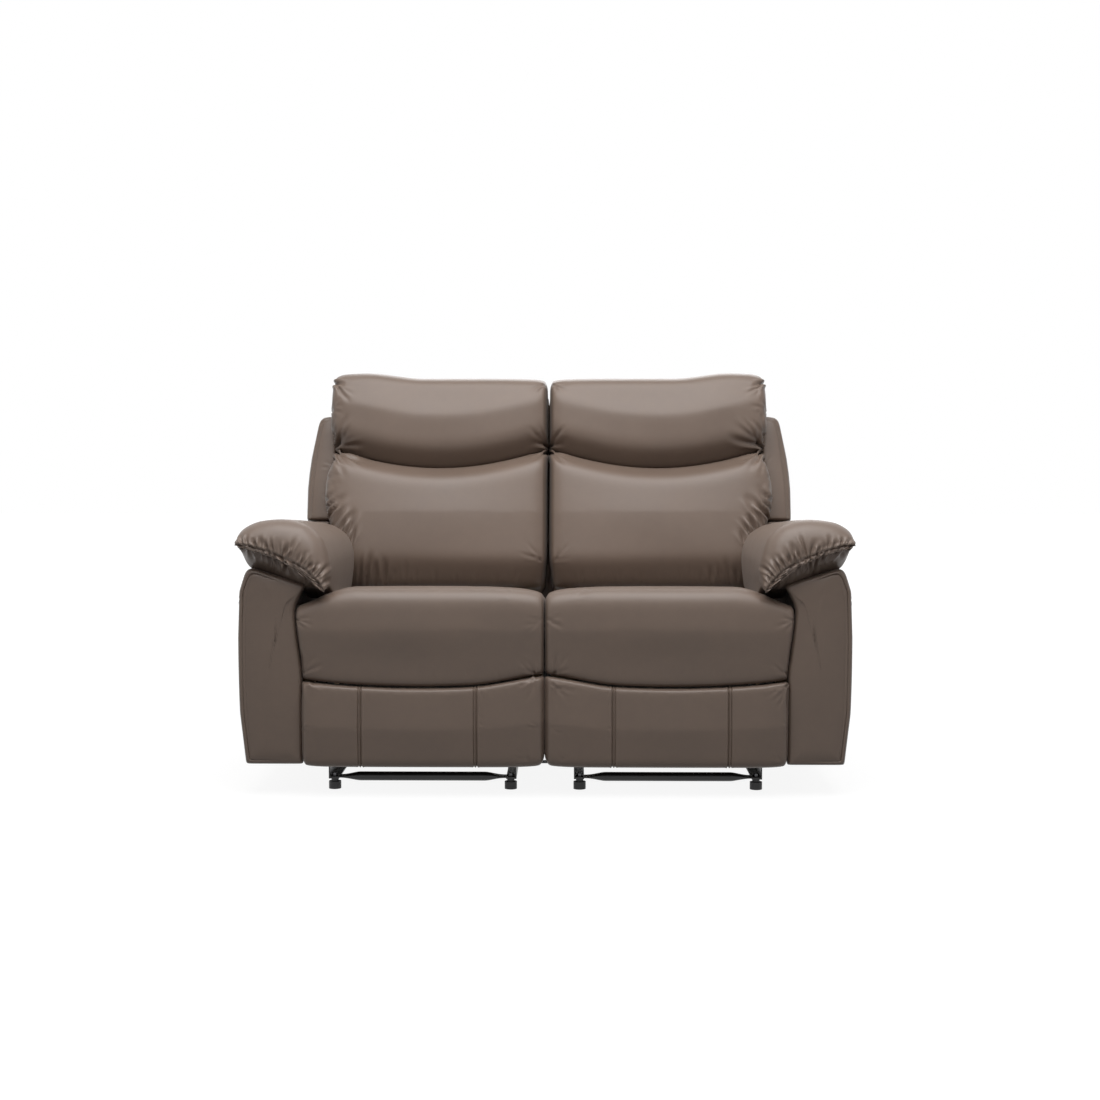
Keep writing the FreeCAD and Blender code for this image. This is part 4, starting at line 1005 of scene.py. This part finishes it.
def lumbarCreases(sign, half, dice):
    seamEnd = seamHeight(1.0)
    lines = fan((half - 0.004, seamEnd - 0.008), 214, 66, 6, 0.095, 0.0056, 0.0080, dice)
    lines += fan((half + 0.004, seamEnd - 0.024), 250, 28, 3, 0.070, 0.0050, 0.0048, dice)
    lines += fan((-half - 0.004, seamEnd - 0.006), -32, 60, 6, 0.070, 0.0050, 0.0050, dice)
    # The gathered lower outer corner, where the cover is drawn in beside the arm
    corner = [(half + 0.018, 0.205), (half + 0.012, 0.168), (half - 0.002, 0.128), (half - 0.042, 0.088),
              (half - 0.068, 0.040)]
    for spot, turn, long in ((0.10, 150, 0.045), (0.24, 138, 0.055), (0.37, 128, 0.070), (0.50, 122, 0.075),
                             (0.63, 118, 0.070), (0.76, 112, 0.060), (0.90, 106, 0.055)):
        at = smoothPath(corner, 41)[int(spot * 40)]
        lines += fan(at, turn, 6, 1, long + 0.016, 0.0064, 0.0115, dice)
    lines += fan((half + 0.012, 0.25), 190, 70, 4, 0.045, 0.0055, 0.0022, dice)
    # Upright puckers along the lower outer half, and small ones along the rest
    for spot, long, deep in ((0.73, 0.060, 0.0050), (0.66, 0.085, 0.0062), (0.58, 0.070, 0.0050),
                             (0.49, 0.080, 0.0052), (0.40, 0.060, 0.0040), (0.30, 0.070, 0.0036),
                             (0.20, 0.045, 0.0026)):
        lines += fan((spot * half, -0.038), 98, 14, 1, long, 0.0060, deep, dice)
    for spot in (0.02, -0.18, -0.36, -0.55, -0.72):
        lines += fan((spot * half, -0.040), 90, 30, 1, 0.045, 0.0055, 0.0018, dice)
    lines += fan((-half + 0.010, 0.02), 40, 60, 4, 0.060, 0.0050, 0.0030, dice)
    swells = [((-0.05 * sign, 0.13), 0.17, 0.09, 0.004), ((0.10 * sign, 0.01), 0.12, 0.04, -0.003)]
    return mirrorLines(sign, lines), swells


def headCreases(sign, half, dice):
    seamEnd = seamHeight(1.0)
    lines = fan((half - 0.006, seamEnd + 0.010), 146, 70, 6, 0.095, 0.0056, 0.0085, dice)
    lines += fan((half + 0.004, seamEnd + 0.026), 110, 26, 3, 0.075, 0.0050, 0.0050, dice)
    lines += fan((-half - 0.004, seamEnd + 0.010), 34, 62, 6, 0.065, 0.0050, 0.0048, dice)
    lines += fan((half + 0.008, 0.445), 180, 110, 4, 0.050, 0.0052, 0.0026, dice)
    # The folded corner of the cover at the top
    lines += fan((half + 0.008, 0.526), 200, 14, 2, 0.046, 0.0068, 0.0062, dice)
    lines += fan((half - 0.006, 0.512), 228, 30, 3, 0.060, 0.0055, 0.0034, dice)
    lines += fan((-half + 0.004, 0.520), -30, 50, 3, 0.045, 0.0050, 0.0024, dice)
    swells = [((0.05 * sign, 0.42), 0.17, 0.05, 0.003), ((0.16 * sign, 0.47), 0.06, 0.04, 0.003)]
    return mirrorLines(sign, lines), swells


wingShape = {
    "inner": 0.5915, "deep": 0.132, "sweep": 0.2655,
    "levels": ((0.04, 0.080, 0.0), (0.10, 0.080, 0.0), (0.17, 0.080, 0.0), (0.235, 0.077, 0.0),
               (0.30, 0.072, 0.0), (0.35, 0.066, 0.0), (0.40, 0.059, 0.001), (0.424, 0.0555, 0.003),
               (0.437, 0.0525, 0.007),
               (0.445, 0.048, 0.014), (0.449, 0.041, 0.024))}


def makeBackWing(side, sign):
    dice = random.Random(f"wing {side}")
    pivot = jointPlace(f"back_tilt_{side}")
    inner, deep = wingShape["inner"], wingShape["deep"]
    rings, counts = [], None
    for upward, wide, shrink in wingShape["levels"]:
        outer = inner + wide - shrink * 0.3
        corners = [(inner, 0.002), (outer, 0.002 + shrink * 0.3), (outer, deep - shrink),
                   (inner, deep - shrink)]
        radii = [0.003, 0.016, 0.030, 0.006]
        counts = counts or outlineCounts(corners, radii, 0.007)
        outline = softenRing(outlinePoints(corners, radii, counts), 2)
        rings.append([inBack(sign * point[0], point[1], upward) for point in outline])
    rings = np.array(rings)
    # The lower edge is an arc about the recline hinge, so that the wing clears the arm as it leans back.
    for column in range(rings.shape[1]):
        line = rings[:, column]
        start = line[0].copy()
        offset = (start - pivot) * (0, 1, 1)
        b, c = offset @ backUp, offset @ offset - wingShape["sweep"] ** 2
        shift = -b + math.sqrt(max(0.0, b * b - c))
        span = (line[-1] - start) @ backUp
        for row in range(len(line)):
            share = ((line[row] - start) @ backUp) / span
            line[row] += backUp * max(0.0, shift) * max(0.0, 1 - share / 0.85)
    dense = []
    for row in range(len(rings) - 1):
        parts = 5 if row < 6 else 2
        dense += [rings[row] + (rings[row + 1] - rings[row]) * k / parts for k in range(parts)]
    dense.append(rings[-1])
    piece = ringMesh(f"back_wing_cover_{side}", dense, capRings=4)
    refine(piece)
    view = panelView(piece, backFoot, (sign, 0, 0), backUp, backFront, 0.1)
    edge = [(inner + 0.069, 0.16), (inner + 0.066, 0.24), (inner + 0.059, 0.32), (inner + 0.049, 0.40),
            (inner + 0.041, 0.428), (inner + 0.020, 0.438), (inner, 0.440)]
    lines = fan((inner + 0.006, 0.20), 60, 40, 3, 0.05, 0.004, 0.0018, dice)
    lines += fan((inner + 0.002, 0.30), 20, 60, 3, 0.04, 0.004, 0.0014, dice)
    press(piece, view, lines, [(edge, 0.0022, 0.0022, 0.0008)])
    sideView = panelView(piece, backFoot, backFront, backUp, (sign, 0, 0), 0.3)
    press(piece, sideView, fan((0.02, 0.16), 70, 50, 3, 0.06, 0.004, 0.0012, dice),
          [([(0.024, 0.0), (0.024, 0.45)], 0.0022, 0.0018, 0.0006)])
    inset = [(x - 0.006, z - 0.002) for x, z in edge]
    row = [inBack(sign * x, 0.16, z) for x, z in smoothPath(inset, 90)]
    sewRow(piece, f"back_{side}", row, tuple(-backFront))
    finishSoft(piece, f"back_{side}", f"back_wing_{side}")


panelShape = {
    "front": 0.0245, "foot": -0.118, "top": 0.546, "crown": 0.004, "inset": 0.022, "topSeam": 0.505,
    "middleSeam": 0.16, "topstitch": 0.0065, "meet": 0.0074}


def makeBackPanel(side, sign):
    dice = random.Random(f"panel {side}")
    low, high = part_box(f"back_shell_{side}")
    centre, half = middleAndHalf(low, high)
    shape = panelShape

    def profile(share):
        end = pullIn(share, 9)
        crown = shape["crown"] * (1 - share * share)
        rear = 0.008 * end - crown * 0.3
        foot, top = shape["foot"] + 0.008 * end, shape["top"] - 0.02 * end
        corners = [(rear, foot), (shape["front"], foot), (shape["front"], top), (rear, top),
                   (0.006 * end - crown, 0.21)]
        return corners, [0.006, 0.003, 0.003, 0.012, 0.3]

    def place(x, point):
        share = (x - centre) / half
        reach = shape["meet"] * abs(share) ** 8 if share * sign < 0 else 0.0
        return inBack(x + math.copysign(reach, share), point[0], point[1])

    inset = half - shape["inset"]
    shares = sectionShares(52, (-inset / half, inset / half), half)
    piece = crossPillow(f"back_panel_{side}", centre, half, shares, 0.011, profile, place, soften=1)
    refine(piece)
    view = panelView(piece, backFoot + np.array((centre, 0, 0)), (1, 0, 0), backUp, -backFront, 0.2)
    # Two upright seams and two level ones, each with its stitches to one side
    stitch, seams, rows = shape["topstitch"], [], []
    upright = [(((hand * inset, -0.12), (hand * inset, 0.55)), (-hand * stitch, 0)) for hand in (-1, 1)]
    level = [(((-wide, tall), (wide, tall)), (0, -stitch))
             for wide, tall in ((half, shape["topSeam"]), (inset, shape["middleSeam"]))]
    for path, nudge in upright + level:
        seams.append((path, 0.0024, 0.0022, 0.0007))
        rows.append([(a + nudge[0], b + nudge[1]) for a, b in path])
    lines = []
    for hand in (-1, 1):
        lines += gathers([(hand * inset, -0.08), (hand * inset, 0.48)], 0.07, 90 if hand > 0 else -90, 0.035,
                         0.004, 0.0010, dice)
        lines += fan((hand * inset, shape["middleSeam"]), 90 + hand * 90, 80, 4, 0.06, 0.004, 0.0014, dice)
    press(piece, view, lines, seams, [((0, 0.33), 0.2, 0.11, 0.004), ((0, 0.02), 0.2, 0.08, 0.003)])
    for row in rows:
        sewRow(piece, f"back_{side}", [inBack(centre + a, -0.05, b) for a, b in smoothPath(row, 120)],
               tuple(backFront))
    finishSoft(piece, f"back_{side}", f"back_shell_{side}")


# Arms

armShape = {
    "inner": 0.600, "outerTop": 0.549, "innerTop": 0.506, "sweep": 0.2585, "blockFrom": 0.203,
    "blockTo": 0.213, "sideSwell": 0.006, "lip": 0.021, "topLip": 0.031, "lipDeep": 0.030,
    "recessFrom": 0.694, "recessTo": 0.78, "recessEdge": 0.007,
    # From the panel's middle to the side: depth behind the front face and distance in from the outline
    "frontEdge": ((-0.0035, 0.040), (-0.0025, 0.026), (-0.0008, 0.0175), (0.0002, 0.0135), (0.0012, 0.0118),
                  (0.0036, 0.0106), (0.0036, 0.0102), (0.0010, 0.0090), (0.0004, 0.0072), (0.0022, 0.0040),
                  (0.0060, 0.0014), (0.0120, 0.0), (0.020, 0.0)),
    # The same edge with no seam: distance in from the outline and depth
    "roundEdge": ((0.0, 0.012), (0.0014, 0.0068), (0.0040, 0.0032), (0.0072, 0.0014), (0.0135, -0.0002),
                  (0.0175, -0.0008), (0.026, -0.0025), (0.040, -0.0035)),
    "rearEdge": ((0.020, 0.0), (0.010, 0.0008), (0.004, 0.0036), (0.001, 0.0085), (0.0, 0.016))}


def cutBox(piece, low, high):
    # Takes a box out of the piece.
    box = [(x, y, z) for x in (low[0], high[0]) for y in (low[1], high[1]) for z in (low[2], high[2])]
    cutter = addObject("recess", bpy.data.meshes.new("recess"))
    cutter.data.from_pydata(box, [], [(0, 1, 3, 2), (4, 6, 7, 5), (0, 4, 5, 1), (2, 3, 7, 6), (0, 2, 6, 4),
                                      (1, 5, 7, 3)])
    recess = piece.modifiers.new("recess", "BOOLEAN")
    recess.operation = "DIFFERENCE"
    recess.object = cutter
    bakeModifiers(piece)
    bpy.data.objects.remove(cutter)


def makeArm(side, sign):
    dice = random.Random(f"arm {side}")
    low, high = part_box(f"arm_cover_{side}")
    cupLow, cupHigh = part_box(f"release_cup_{side}")
    inner, bottom, front, rear = armShape["inner"], low.z, low.y, high.y
    pivot = jointPlace(f"back_tilt_{side}")

    def outline(y, shrink):
        # The raised block beside the back starts behind the pad; its top is an arc about the recline hinge.
        arc = pivot[2] + math.sqrt(max(0.0, armShape["sweep"] ** 2 - (y - pivot[1]) ** 2))
        block = float(smoothStep(armShape["blockFrom"], armShape["blockTo"], y))
        outerTop = armShape["outerTop"] + (arc - armShape["outerTop"]) * block
        innerTop = armShape["innerTop"] + (arc - armShape["innerTop"]) * block
        # The front panel is wider than the arm and closes the space beside the drawn-in nose and footrest.
        ahead = float(smoothStep(armShape["lipDeep"] + 0.008, armShape["lipDeep"], y - front))
        lip, topLip = armShape["lip"] * ahead, armShape["topLip"] * ahead
        corners = [(inner - lip + shrink, bottom + shrink), (0.7155 - shrink, bottom + shrink),
                   (0.7275 - shrink, 0.20), (0.7295 - shrink, 0.38), (0.727 - shrink, 0.49),
                   (0.709 - shrink, outerTop - shrink), (inner - topLip + shrink, innerTop - shrink),
                   (inner - 0.1 * lip + shrink, 0.452), (inner - lip + shrink, 0.300)]
        return corners, [0.004, 0.006, 0.2, 0.2, 0.03, 0.016, 0.006, 0.05, 0.05]

    counts = outlineCounts(*outline(front, 0.0), 0.0095)
    stations = [(front + deep, shrink) for deep, shrink in armShape["frontEdge"]]
    stations += [(front + deep, 0.0) for deep in (0.028, 0.033, 0.038)]
    stations += [(y, 0.0) for y in np.arange(front + 0.048, 0.198, 0.0125)]
    stations += [(y, 0.0) for y in (0.201, 0.205, 0.208, 0.211, 0.215)]
    stations += [(y, 0.0) for y in np.arange(0.225, rear - 0.024, 0.0125)]
    stations += [(rear - deep, shrink) for deep, shrink in armShape["rearEdge"]]
    rings = []
    for y, shrink in stations:
        points = softenRing(outlinePoints(*outline(max(y, front), shrink), counts), 1)
        into = np.zeros(len(points))
        if shrink > 0 and y < 0:
            # The seam runs up the outer side and over the top; elsewhere the edge is simply rounded.
            seamed = (smoothStep(0.625, 0.672, points[:, 0])
                      * smoothStep(bottom + 0.004, bottom + 0.016, points[:, 1]))
            plain = np.interp(shrink, *zip(*armShape["roundEdge"]))
            into = (1 - seamed) * (plain - (y - front))
        rings.append([(sign * point[0], y + shift, point[1]) for point, shift in zip(points, into)])
    piece = ringMesh(f"arm_side_{side}", rings, capRings=8)
    refine(piece)
    face = panelView(piece, (0, 0, 0), (sign, 0, 0), (0, 0, 1), (0, -1, 0), 0.25)
    pipe = [(0.7055, bottom), (0.7165, 0.20), (0.7190, 0.34), (0.7165, 0.46), (0.706, 0.520)]
    lines = fan((0.66, 0.495), 250, 50, 3, 0.06, 0.006, 0.0008, dice)
    lines += fan((0.606, 0.468), 285, 40, 3, 0.05, 0.005, 0.0008, dice)
    press(piece, face, lines, (), [((0.655, 0.30), 0.035, 0.15, 0.004)])
    outer = panelView(piece, (0, 0, 0), (0, 1, 0), (0, 0, 1), (sign, 0, 0), 0.2)
    middle = (front + rear) / 2
    swell = [((middle, 0.29), 0.36, 0.15, armShape["sideSwell"]), ((front + 0.09, 0.31), 0.10, 0.17, 0.003)]
    lines = fan((front + 0.01, 0.47), 340, 40, 3, 0.07, 0.005, 0.0014, dice)
    lines += fan((rear - 0.01, 0.36), 200, 50, 3, 0.08, 0.005, 0.0014, dice)
    lines += gathers([(front + 0.05, 0.52), (0.19, 0.52)], 0.06, -90, 0.05, 0.005, 0.0012, dice)
    rearSeam = [(0.255, bottom), (0.255, 0.60)]
    press(piece, outer, lines, [(rearSeam, 0.0030, 0.0022, 0.0008)], swell)
    body = f"seat_{side}"
    sewRow(piece, body, [(sign * (x - 0.007), front - 0.05, z) for x, z in smoothPath(pipe, 110)], (0, 1, 0))
    rearRow = [(sign * 0.80, 0.2485, z) for z in np.linspace(bottom + 0.01, 0.58, 110)]
    sewRow(piece, body, rearRow, (-sign, 0, 0))
    # The release cup's recess
    left, right = sorted((sign * armShape["recessFrom"], sign * armShape["recessTo"]))
    edge = armShape["recessEdge"]
    cutBox(piece, (left, cupLow.y + edge, cupLow.z + edge), (right, cupHigh.y - edge, cupHigh.z - edge))
    piece.data.materials.clear()
    finishSoft(piece, body, f"arm_cover_{side}")


padShape = {
    "frontStart": -0.405, "frontDeep": 0.063, "rearStart": 0.165, "topSlope": 0.040, "hang": 0.040,
    "inset": 0.088, "around": 76, "frontSteps": 22, "hold": 0.3, "swell": 0.006, "grow": -0.02,
    # From the outer tip over the top and down to the inner corner, then back below: across, tall
    "over": ((0.7325, 0.603), (0.7265, 0.629), (0.702, 0.648), (0.662, 0.658), (0.612, 0.659), (0.566, 0.646),
             (0.533, 0.617), (0.517, 0.578), (0.512, 0.536), (0.519, 0.500)),
    "under": ((0.519, 0.500), (0.560, 0.496), (0.604, 0.503), (0.655, 0.525), (0.706, 0.547),
              (0.7325, 0.603)),
    # The end seam, from the same tip down to the inner corner
    "seam": ((0.7315, 0.603), (0.700, 0.600), (0.650, 0.586), (0.600, 0.565), (0.562, 0.543), (0.533, 0.512),
             (0.519, 0.490))}


def makeArmPad(side, sign):
    dice = random.Random(f"arm pad {side}")
    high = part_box(f"arm_pad_{side}")[1]
    many = padShape["around"]
    over = smoothPath(padShape["over"], many + 1)
    under = smoothPath(padShape["under"], many + 1)
    seam = smoothPath(padShape["seam"], many + 1)
    loop = np.concatenate([over[:-1], under[:-1]])
    onSeam = np.concatenate([seam[:-1], seam[::-1][:-1]])
    upper = np.arange(2 * many) <= many
    start, deep, rearStart = padShape["frontStart"], padShape["frontDeep"], padShape["rearStart"]
    # Shares of the skin that the stretch along the arm moves: its underside, its inner end and its top
    lowest = np.clip((0.545 - loop[:, 1]) / 0.045, 0, 1)
    innerEnd = smoothStep(0.603, 0.585, loop[:, 0])
    topmost = np.clip((loop[:, 1] - 0.545) / 0.12, 0, 1)
    rings = []
    steps = padShape["frontSteps"]
    for step in range(steps):
        # The upper skin rounds over to the seam, the lower panel runs back from it.
        theta = math.radians(90 * (1 - step / steps))
        keep = np.where(upper, math.cos(theta) ** 0.8, (1 - math.sin(theta)) ** 0.62)
        flat = onSeam + (loop - onSeam) * keep[:, None]
        rings.append([(sign * p[0], start - deep * math.sin(theta), p[1]) for p in flat])
    for y in np.linspace(start, rearStart, 66):
        rise = float(np.clip((y - start) / (high.y - start), 0, 1))
        points = loop.copy()
        # Behind the front the inner lower corner hangs down beside the seat cushion.
        hang = padShape["hang"] * float(smoothStep(start, start + 0.16, y))
        points[:, 1] -= hang * lowest * innerEnd
        # The top falls gently to the rear.
        points[:, 1] -= padShape["topSlope"] * rise * topmost
        # Beside the back the inner side draws in.
        inset = padShape["inset"] * float(smoothStep(0.040, 0.125, y))
        points[:, 0] += inset * np.clip((0.66 - loop[:, 0]) / 0.145, 0, 1)
        points[:, 1] += 0.45 * inset * lowest * innerEnd
        rings.append([(sign * p[0], y, p[1]) for p in points])
    last = np.array(rings[-1])
    centre = last.mean(0)
    for step in range(1, 8):
        theta = math.radians(90 * step / 8)
        ring = centre + (last - centre) * (0.45 + 0.55 * math.cos(theta))
        ring[:, 1] = rearStart + (high.y - 0.002 - rearStart) * math.sin(theta)
        rings.append(ring)
    piece = ringMesh(f"arm_pillow_{side}", np.array(rings), capRings=4)
    # The front ring is the sewn end seam: its upper and lower points join.
    merge = piece.modifiers.new("sewnEnd", "WELD")
    merge.merge_threshold = 0.0004
    bakeModifiers(piece)
    co = vertexArray(piece.data)
    sewn = np.maximum(smoothStep(start - 0.7 * deep, start - 0.95 * deep, co[:, 1]),
                      smoothStep(0.56, 0.52, co[:, 2]) * smoothStep(0.72, 0.70, sign * co[:, 0]))
    fillWithFoam(piece, padShape["hold"] + (1 - padShape["hold"]) * sewn, padShape["swell"], padShape["grow"])
    refine(piece)
    co, normals, flat, square = panelView(piece, (0, 0, 0), (sign, 0, 0), (0, 0, 1), (0, -1, 0), -0.40)
    front = co, normals, flat, square * smoothStep(start + 0.035, start - 0.010, co[:, 1])
    seam = padShape["seam"]
    # Above the seam short curly gathers near the tip and longer ones towards the inner end.
    # Below it slanting ones.
    lines = gathers(seam, 0.0150, -118, 0.036, 0.0046, 0.0050, dice, 0.10, 0.50, 0.006)
    lines += gathers(seam, 0.0155, -104, 0.052, 0.0050, 0.0062, dice, 0.48, 0.99, 0.008)
    lines += gathers(seam, 0.0160, 52, 0.056, 0.0052, 0.0068, dice, 0.06, 0.92, 0.006)
    press(piece, front, lines, [(seam, 0.0022, 0.0036, 0.0018)])
    outer = panelView(piece, (0, 0, 0), (0, 1, 0), (0, 0, 1), (sign, 0, 0), 0.1)
    edge = [(-0.45, 0.604), (0.19, 0.598)]
    lines = gathers(edge, 0.045, 90, 0.035, 0.0045, 0.0014, dice)
    lines += gathers(edge, 0.040, -90, 0.030, 0.0045, 0.0016, dice)
    press(piece, outer, lines, [(edge, 0.0026, 0.0024, 0.0010)])
    top = panelView(piece, (0, 0, 0), (sign, 0, 0), (0, 1, 0), (0, 0, 1), 0.4)
    lines = []
    for _ in range(7):
        lines += fan((dice.uniform(0.55, 0.70), dice.uniform(-0.38, 0.10)), dice.uniform(0, 360), 1, 1,
                     dice.uniform(0.05, 0.10), 0.009, 0.0008, dice)
    press(piece, top, lines, (), [((0.62, -0.2), 0.06, 0.2, 0.002)])
    row = [(sign * (x - 0.001), -0.55, z + 0.0055) for x, z in smoothPath(seam, 90)]
    sewRow(piece, f"seat_{side}", row, (0, 1, 0))
    finishSoft(piece, f"seat_{side}", f"arm_pad_{side}")


# Base: the cross tubes are round pipe, pressed flat at both ends

tubeShape = {"radius": 0.011, "flatHalf": 0.0155, "flatTall": 0.0021, "lead": 0.075}


def makeCrossTubes():
    co = vertexArray(frame["nodes"]["base_cross_tubes"].data)
    pieces = []
    for sign in (-1, 1):
        for row in (-1, 1):
            mine = co[(np.sign(co[:, 0]) == sign) & (np.sign(co[:, 1]) == row)]
            low, high = mine.min(0), mine.max(0)
            length = high[0] - low[0]
            shared = np.concatenate([np.linspace(0, tubeShape["lead"] + 0.03, 26),
                                     np.linspace(tubeShape["lead"] + 0.035, length / 2, 10)])
            places = np.concatenate([shared, length - shared[::-1][1:]])
            rings = [tubeRing(x, min(x, length - x)) for x in places]
            middle = np.array((low[0], (low[1] + high[1]) / 2, (low[2] + high[2]) / 2))
            pieces.append(ringMesh(f"tube_{sign}_{row}", np.array(rings) + middle, capRings=2))
    return pieces


def tubeRing(x, fromEnd):
    # A circle in the middle of the tube, a flat rounded bar at its ends.
    rounded = float(smoothStep(0.026, tubeShape["lead"], fromEnd))
    tall = tubeShape["flatTall"] + (tubeShape["radius"] - tubeShape["flatTall"]) * rounded
    wide = tubeShape["flatHalf"] + (tubeShape["radius"] - tubeShape["flatHalf"]) * rounded
    power = 0.35 + 0.65 * rounded
    ring = []
    for step in range(28):
        angle = 2 * math.pi * step / 28
        c, s = math.cos(angle), math.sin(angle)
        ring.append((x, math.copysign(abs(c) ** power, c) * wide, math.copysign(abs(s) ** power, s) * tall))
    return ring


valanceShape = {
    "thick": 0.012, "crown": 0.0016, "meet": 0.0072, "hangerOut": 0.2775, "hangerHalf": 0.0075,
    "hangerFront": 0.2, "hangerLow": 0.2, "hangerHigh": 0.28}


def makeValance(side, sign):
    # A lined board across the back of the seat box, with its two hangers.
    # The inner edge meets the other seat's.
    low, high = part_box(f"rear_valance_{side}")
    shape = valanceShape
    rear, front = high.y, high.y - shape["thick"]
    left = low.x - (shape["meet"] if sign > 0 else 0.0)
    right = high.x + (shape["meet"] if sign < 0 else 0.0)
    centre, half = (left + right) / 2, (right - left) / 2

    def profile(share):
        end = pullIn(share, 16)
        crown = shape["crown"] * (1 - share * share)
        bottom, top = low.z + 0.004 * end, high.z - 0.004 * end
        corners = [(front, bottom), (rear + crown, bottom), (rear + crown, top), (front, top)]
        return corners, [0.002, 0.004, 0.004, 0.002]

    def hangerProfile(share):
        corners = [(shape["hangerFront"], shape["hangerLow"]), (front + 0.001, shape["hangerLow"]),
                   (front + 0.001, shape["hangerHigh"]), (shape["hangerFront"], shape["hangerHigh"])]
        return corners, [0.002] * 4

    def place(x, point):
        return (x, point[0], point[1])

    pieces = [crossPillow(f"valance_{side}", centre, half, sectionShares(40), 0.010, profile, place,
                          soften=1)]
    for hand in (-1, 1):
        middle = (low.x + high.x) / 2 + hand * shape["hangerOut"]
        pieces.append(crossPillow(f"valance_hanger_{side}_{hand}", middle, shape["hangerHalf"],
                                  np.linspace(-1, 1, 8), 0.012, hangerProfile, place, soften=0))
    piece = joinPieces(f"valance_lining_{side}", pieces)
    piece.data.materials.append(materials["lining"])
    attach(piece, f"seat_{side}")
    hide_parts(f"rear_valance_{side}")


def joinPieces(name, pieces):
    for piece in bpy.context.selected_objects:
        piece.select_set(False)
    for piece in pieces:
        piece.select_set(True)
    bpy.context.view_layer.objects.active = pieces[0]
    bpy.ops.object.join()
    pieces[0].name = pieces[0].data.name = name
    return pieces[0]


def paintCadNodes():
    finishes = (("valance", "lining"), ("board", "plywood"), ("frame", "plywood"), ("webbing", "webbing"),
                ("springs", "springWire"), ("release", "plastic"), ("feet", "plastic"), ("nuts", "zinc"),
                ("", "blackSteel"))
    for name, node in frame["nodes"].items():
        key = [finish for word, finish in finishes if word in name][0]
        node.data.materials.clear()
        node.data.materials.append(materials[key])


makeCamera()
makeLamps()
makeStudio()
hideGroup = makeHideGroup()
dustGroup = makeDustGroup()
materials = {
    "hide": hideMaterial("taupeHide", (0.166, 0.120, 0.0935), 0.10, 0.18),
    "thread": hardMaterial("taupeThread", (0.142, 0.106, 0.082), 0.6, 2600.0, 0.05, 0.3),
    "plywood": plywoodMaterial(),
    "lining": wovenMaterial("blackLining", (0.02, 0.019, 0.018), 900.0, 0.4, 0.8),
    "webbing": wovenMaterial("elasticWebbing", (0.03, 0.03, 0.032), 420.0, 0.5, 0.75),
    "blackSteel": hardMaterial("powderCoatedSteel", (0.012, 0.012, 0.013), 0.34, 900.0, 0.05, 0.12),
    "plastic": hardMaterial("mouldedPlastic", (0.016, 0.016, 0.017), 0.5, 1600.0, 0.06, 0.2),
    "zinc": hardMaterial("darkZincPlate", (0.10, 0.10, 0.105), 0.4, 500.0, 0.05, 0.1, metallic=1.0),
    "springWire": hardMaterial("oiledSpringWire", (0.2, 0.2, 0.21), 0.36, 500.0, 0.12, 0.1, metallic=1.0)}
say("materials made")
for side, sign in sides:
    makeSeatCushion(side, sign)
    makeFootrestPad(side, sign)
    makeBackPillows(side, sign)
    makeBackWing(side, sign)
    makeBackPanel(side, sign)
    makeArm(side, sign)
    makeArmPad(side, sign)
    makeValance(side, sign)
    say(f"{side} seat made")
tubes = joinPieces("cross_tubes", makeCrossTubes())
tubes.data.materials.append(materials["blackSteel"])
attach(tubes, "root")
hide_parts("base_cross_tubes")
makeStitches()
say("stitches made")
paintCadNodes()
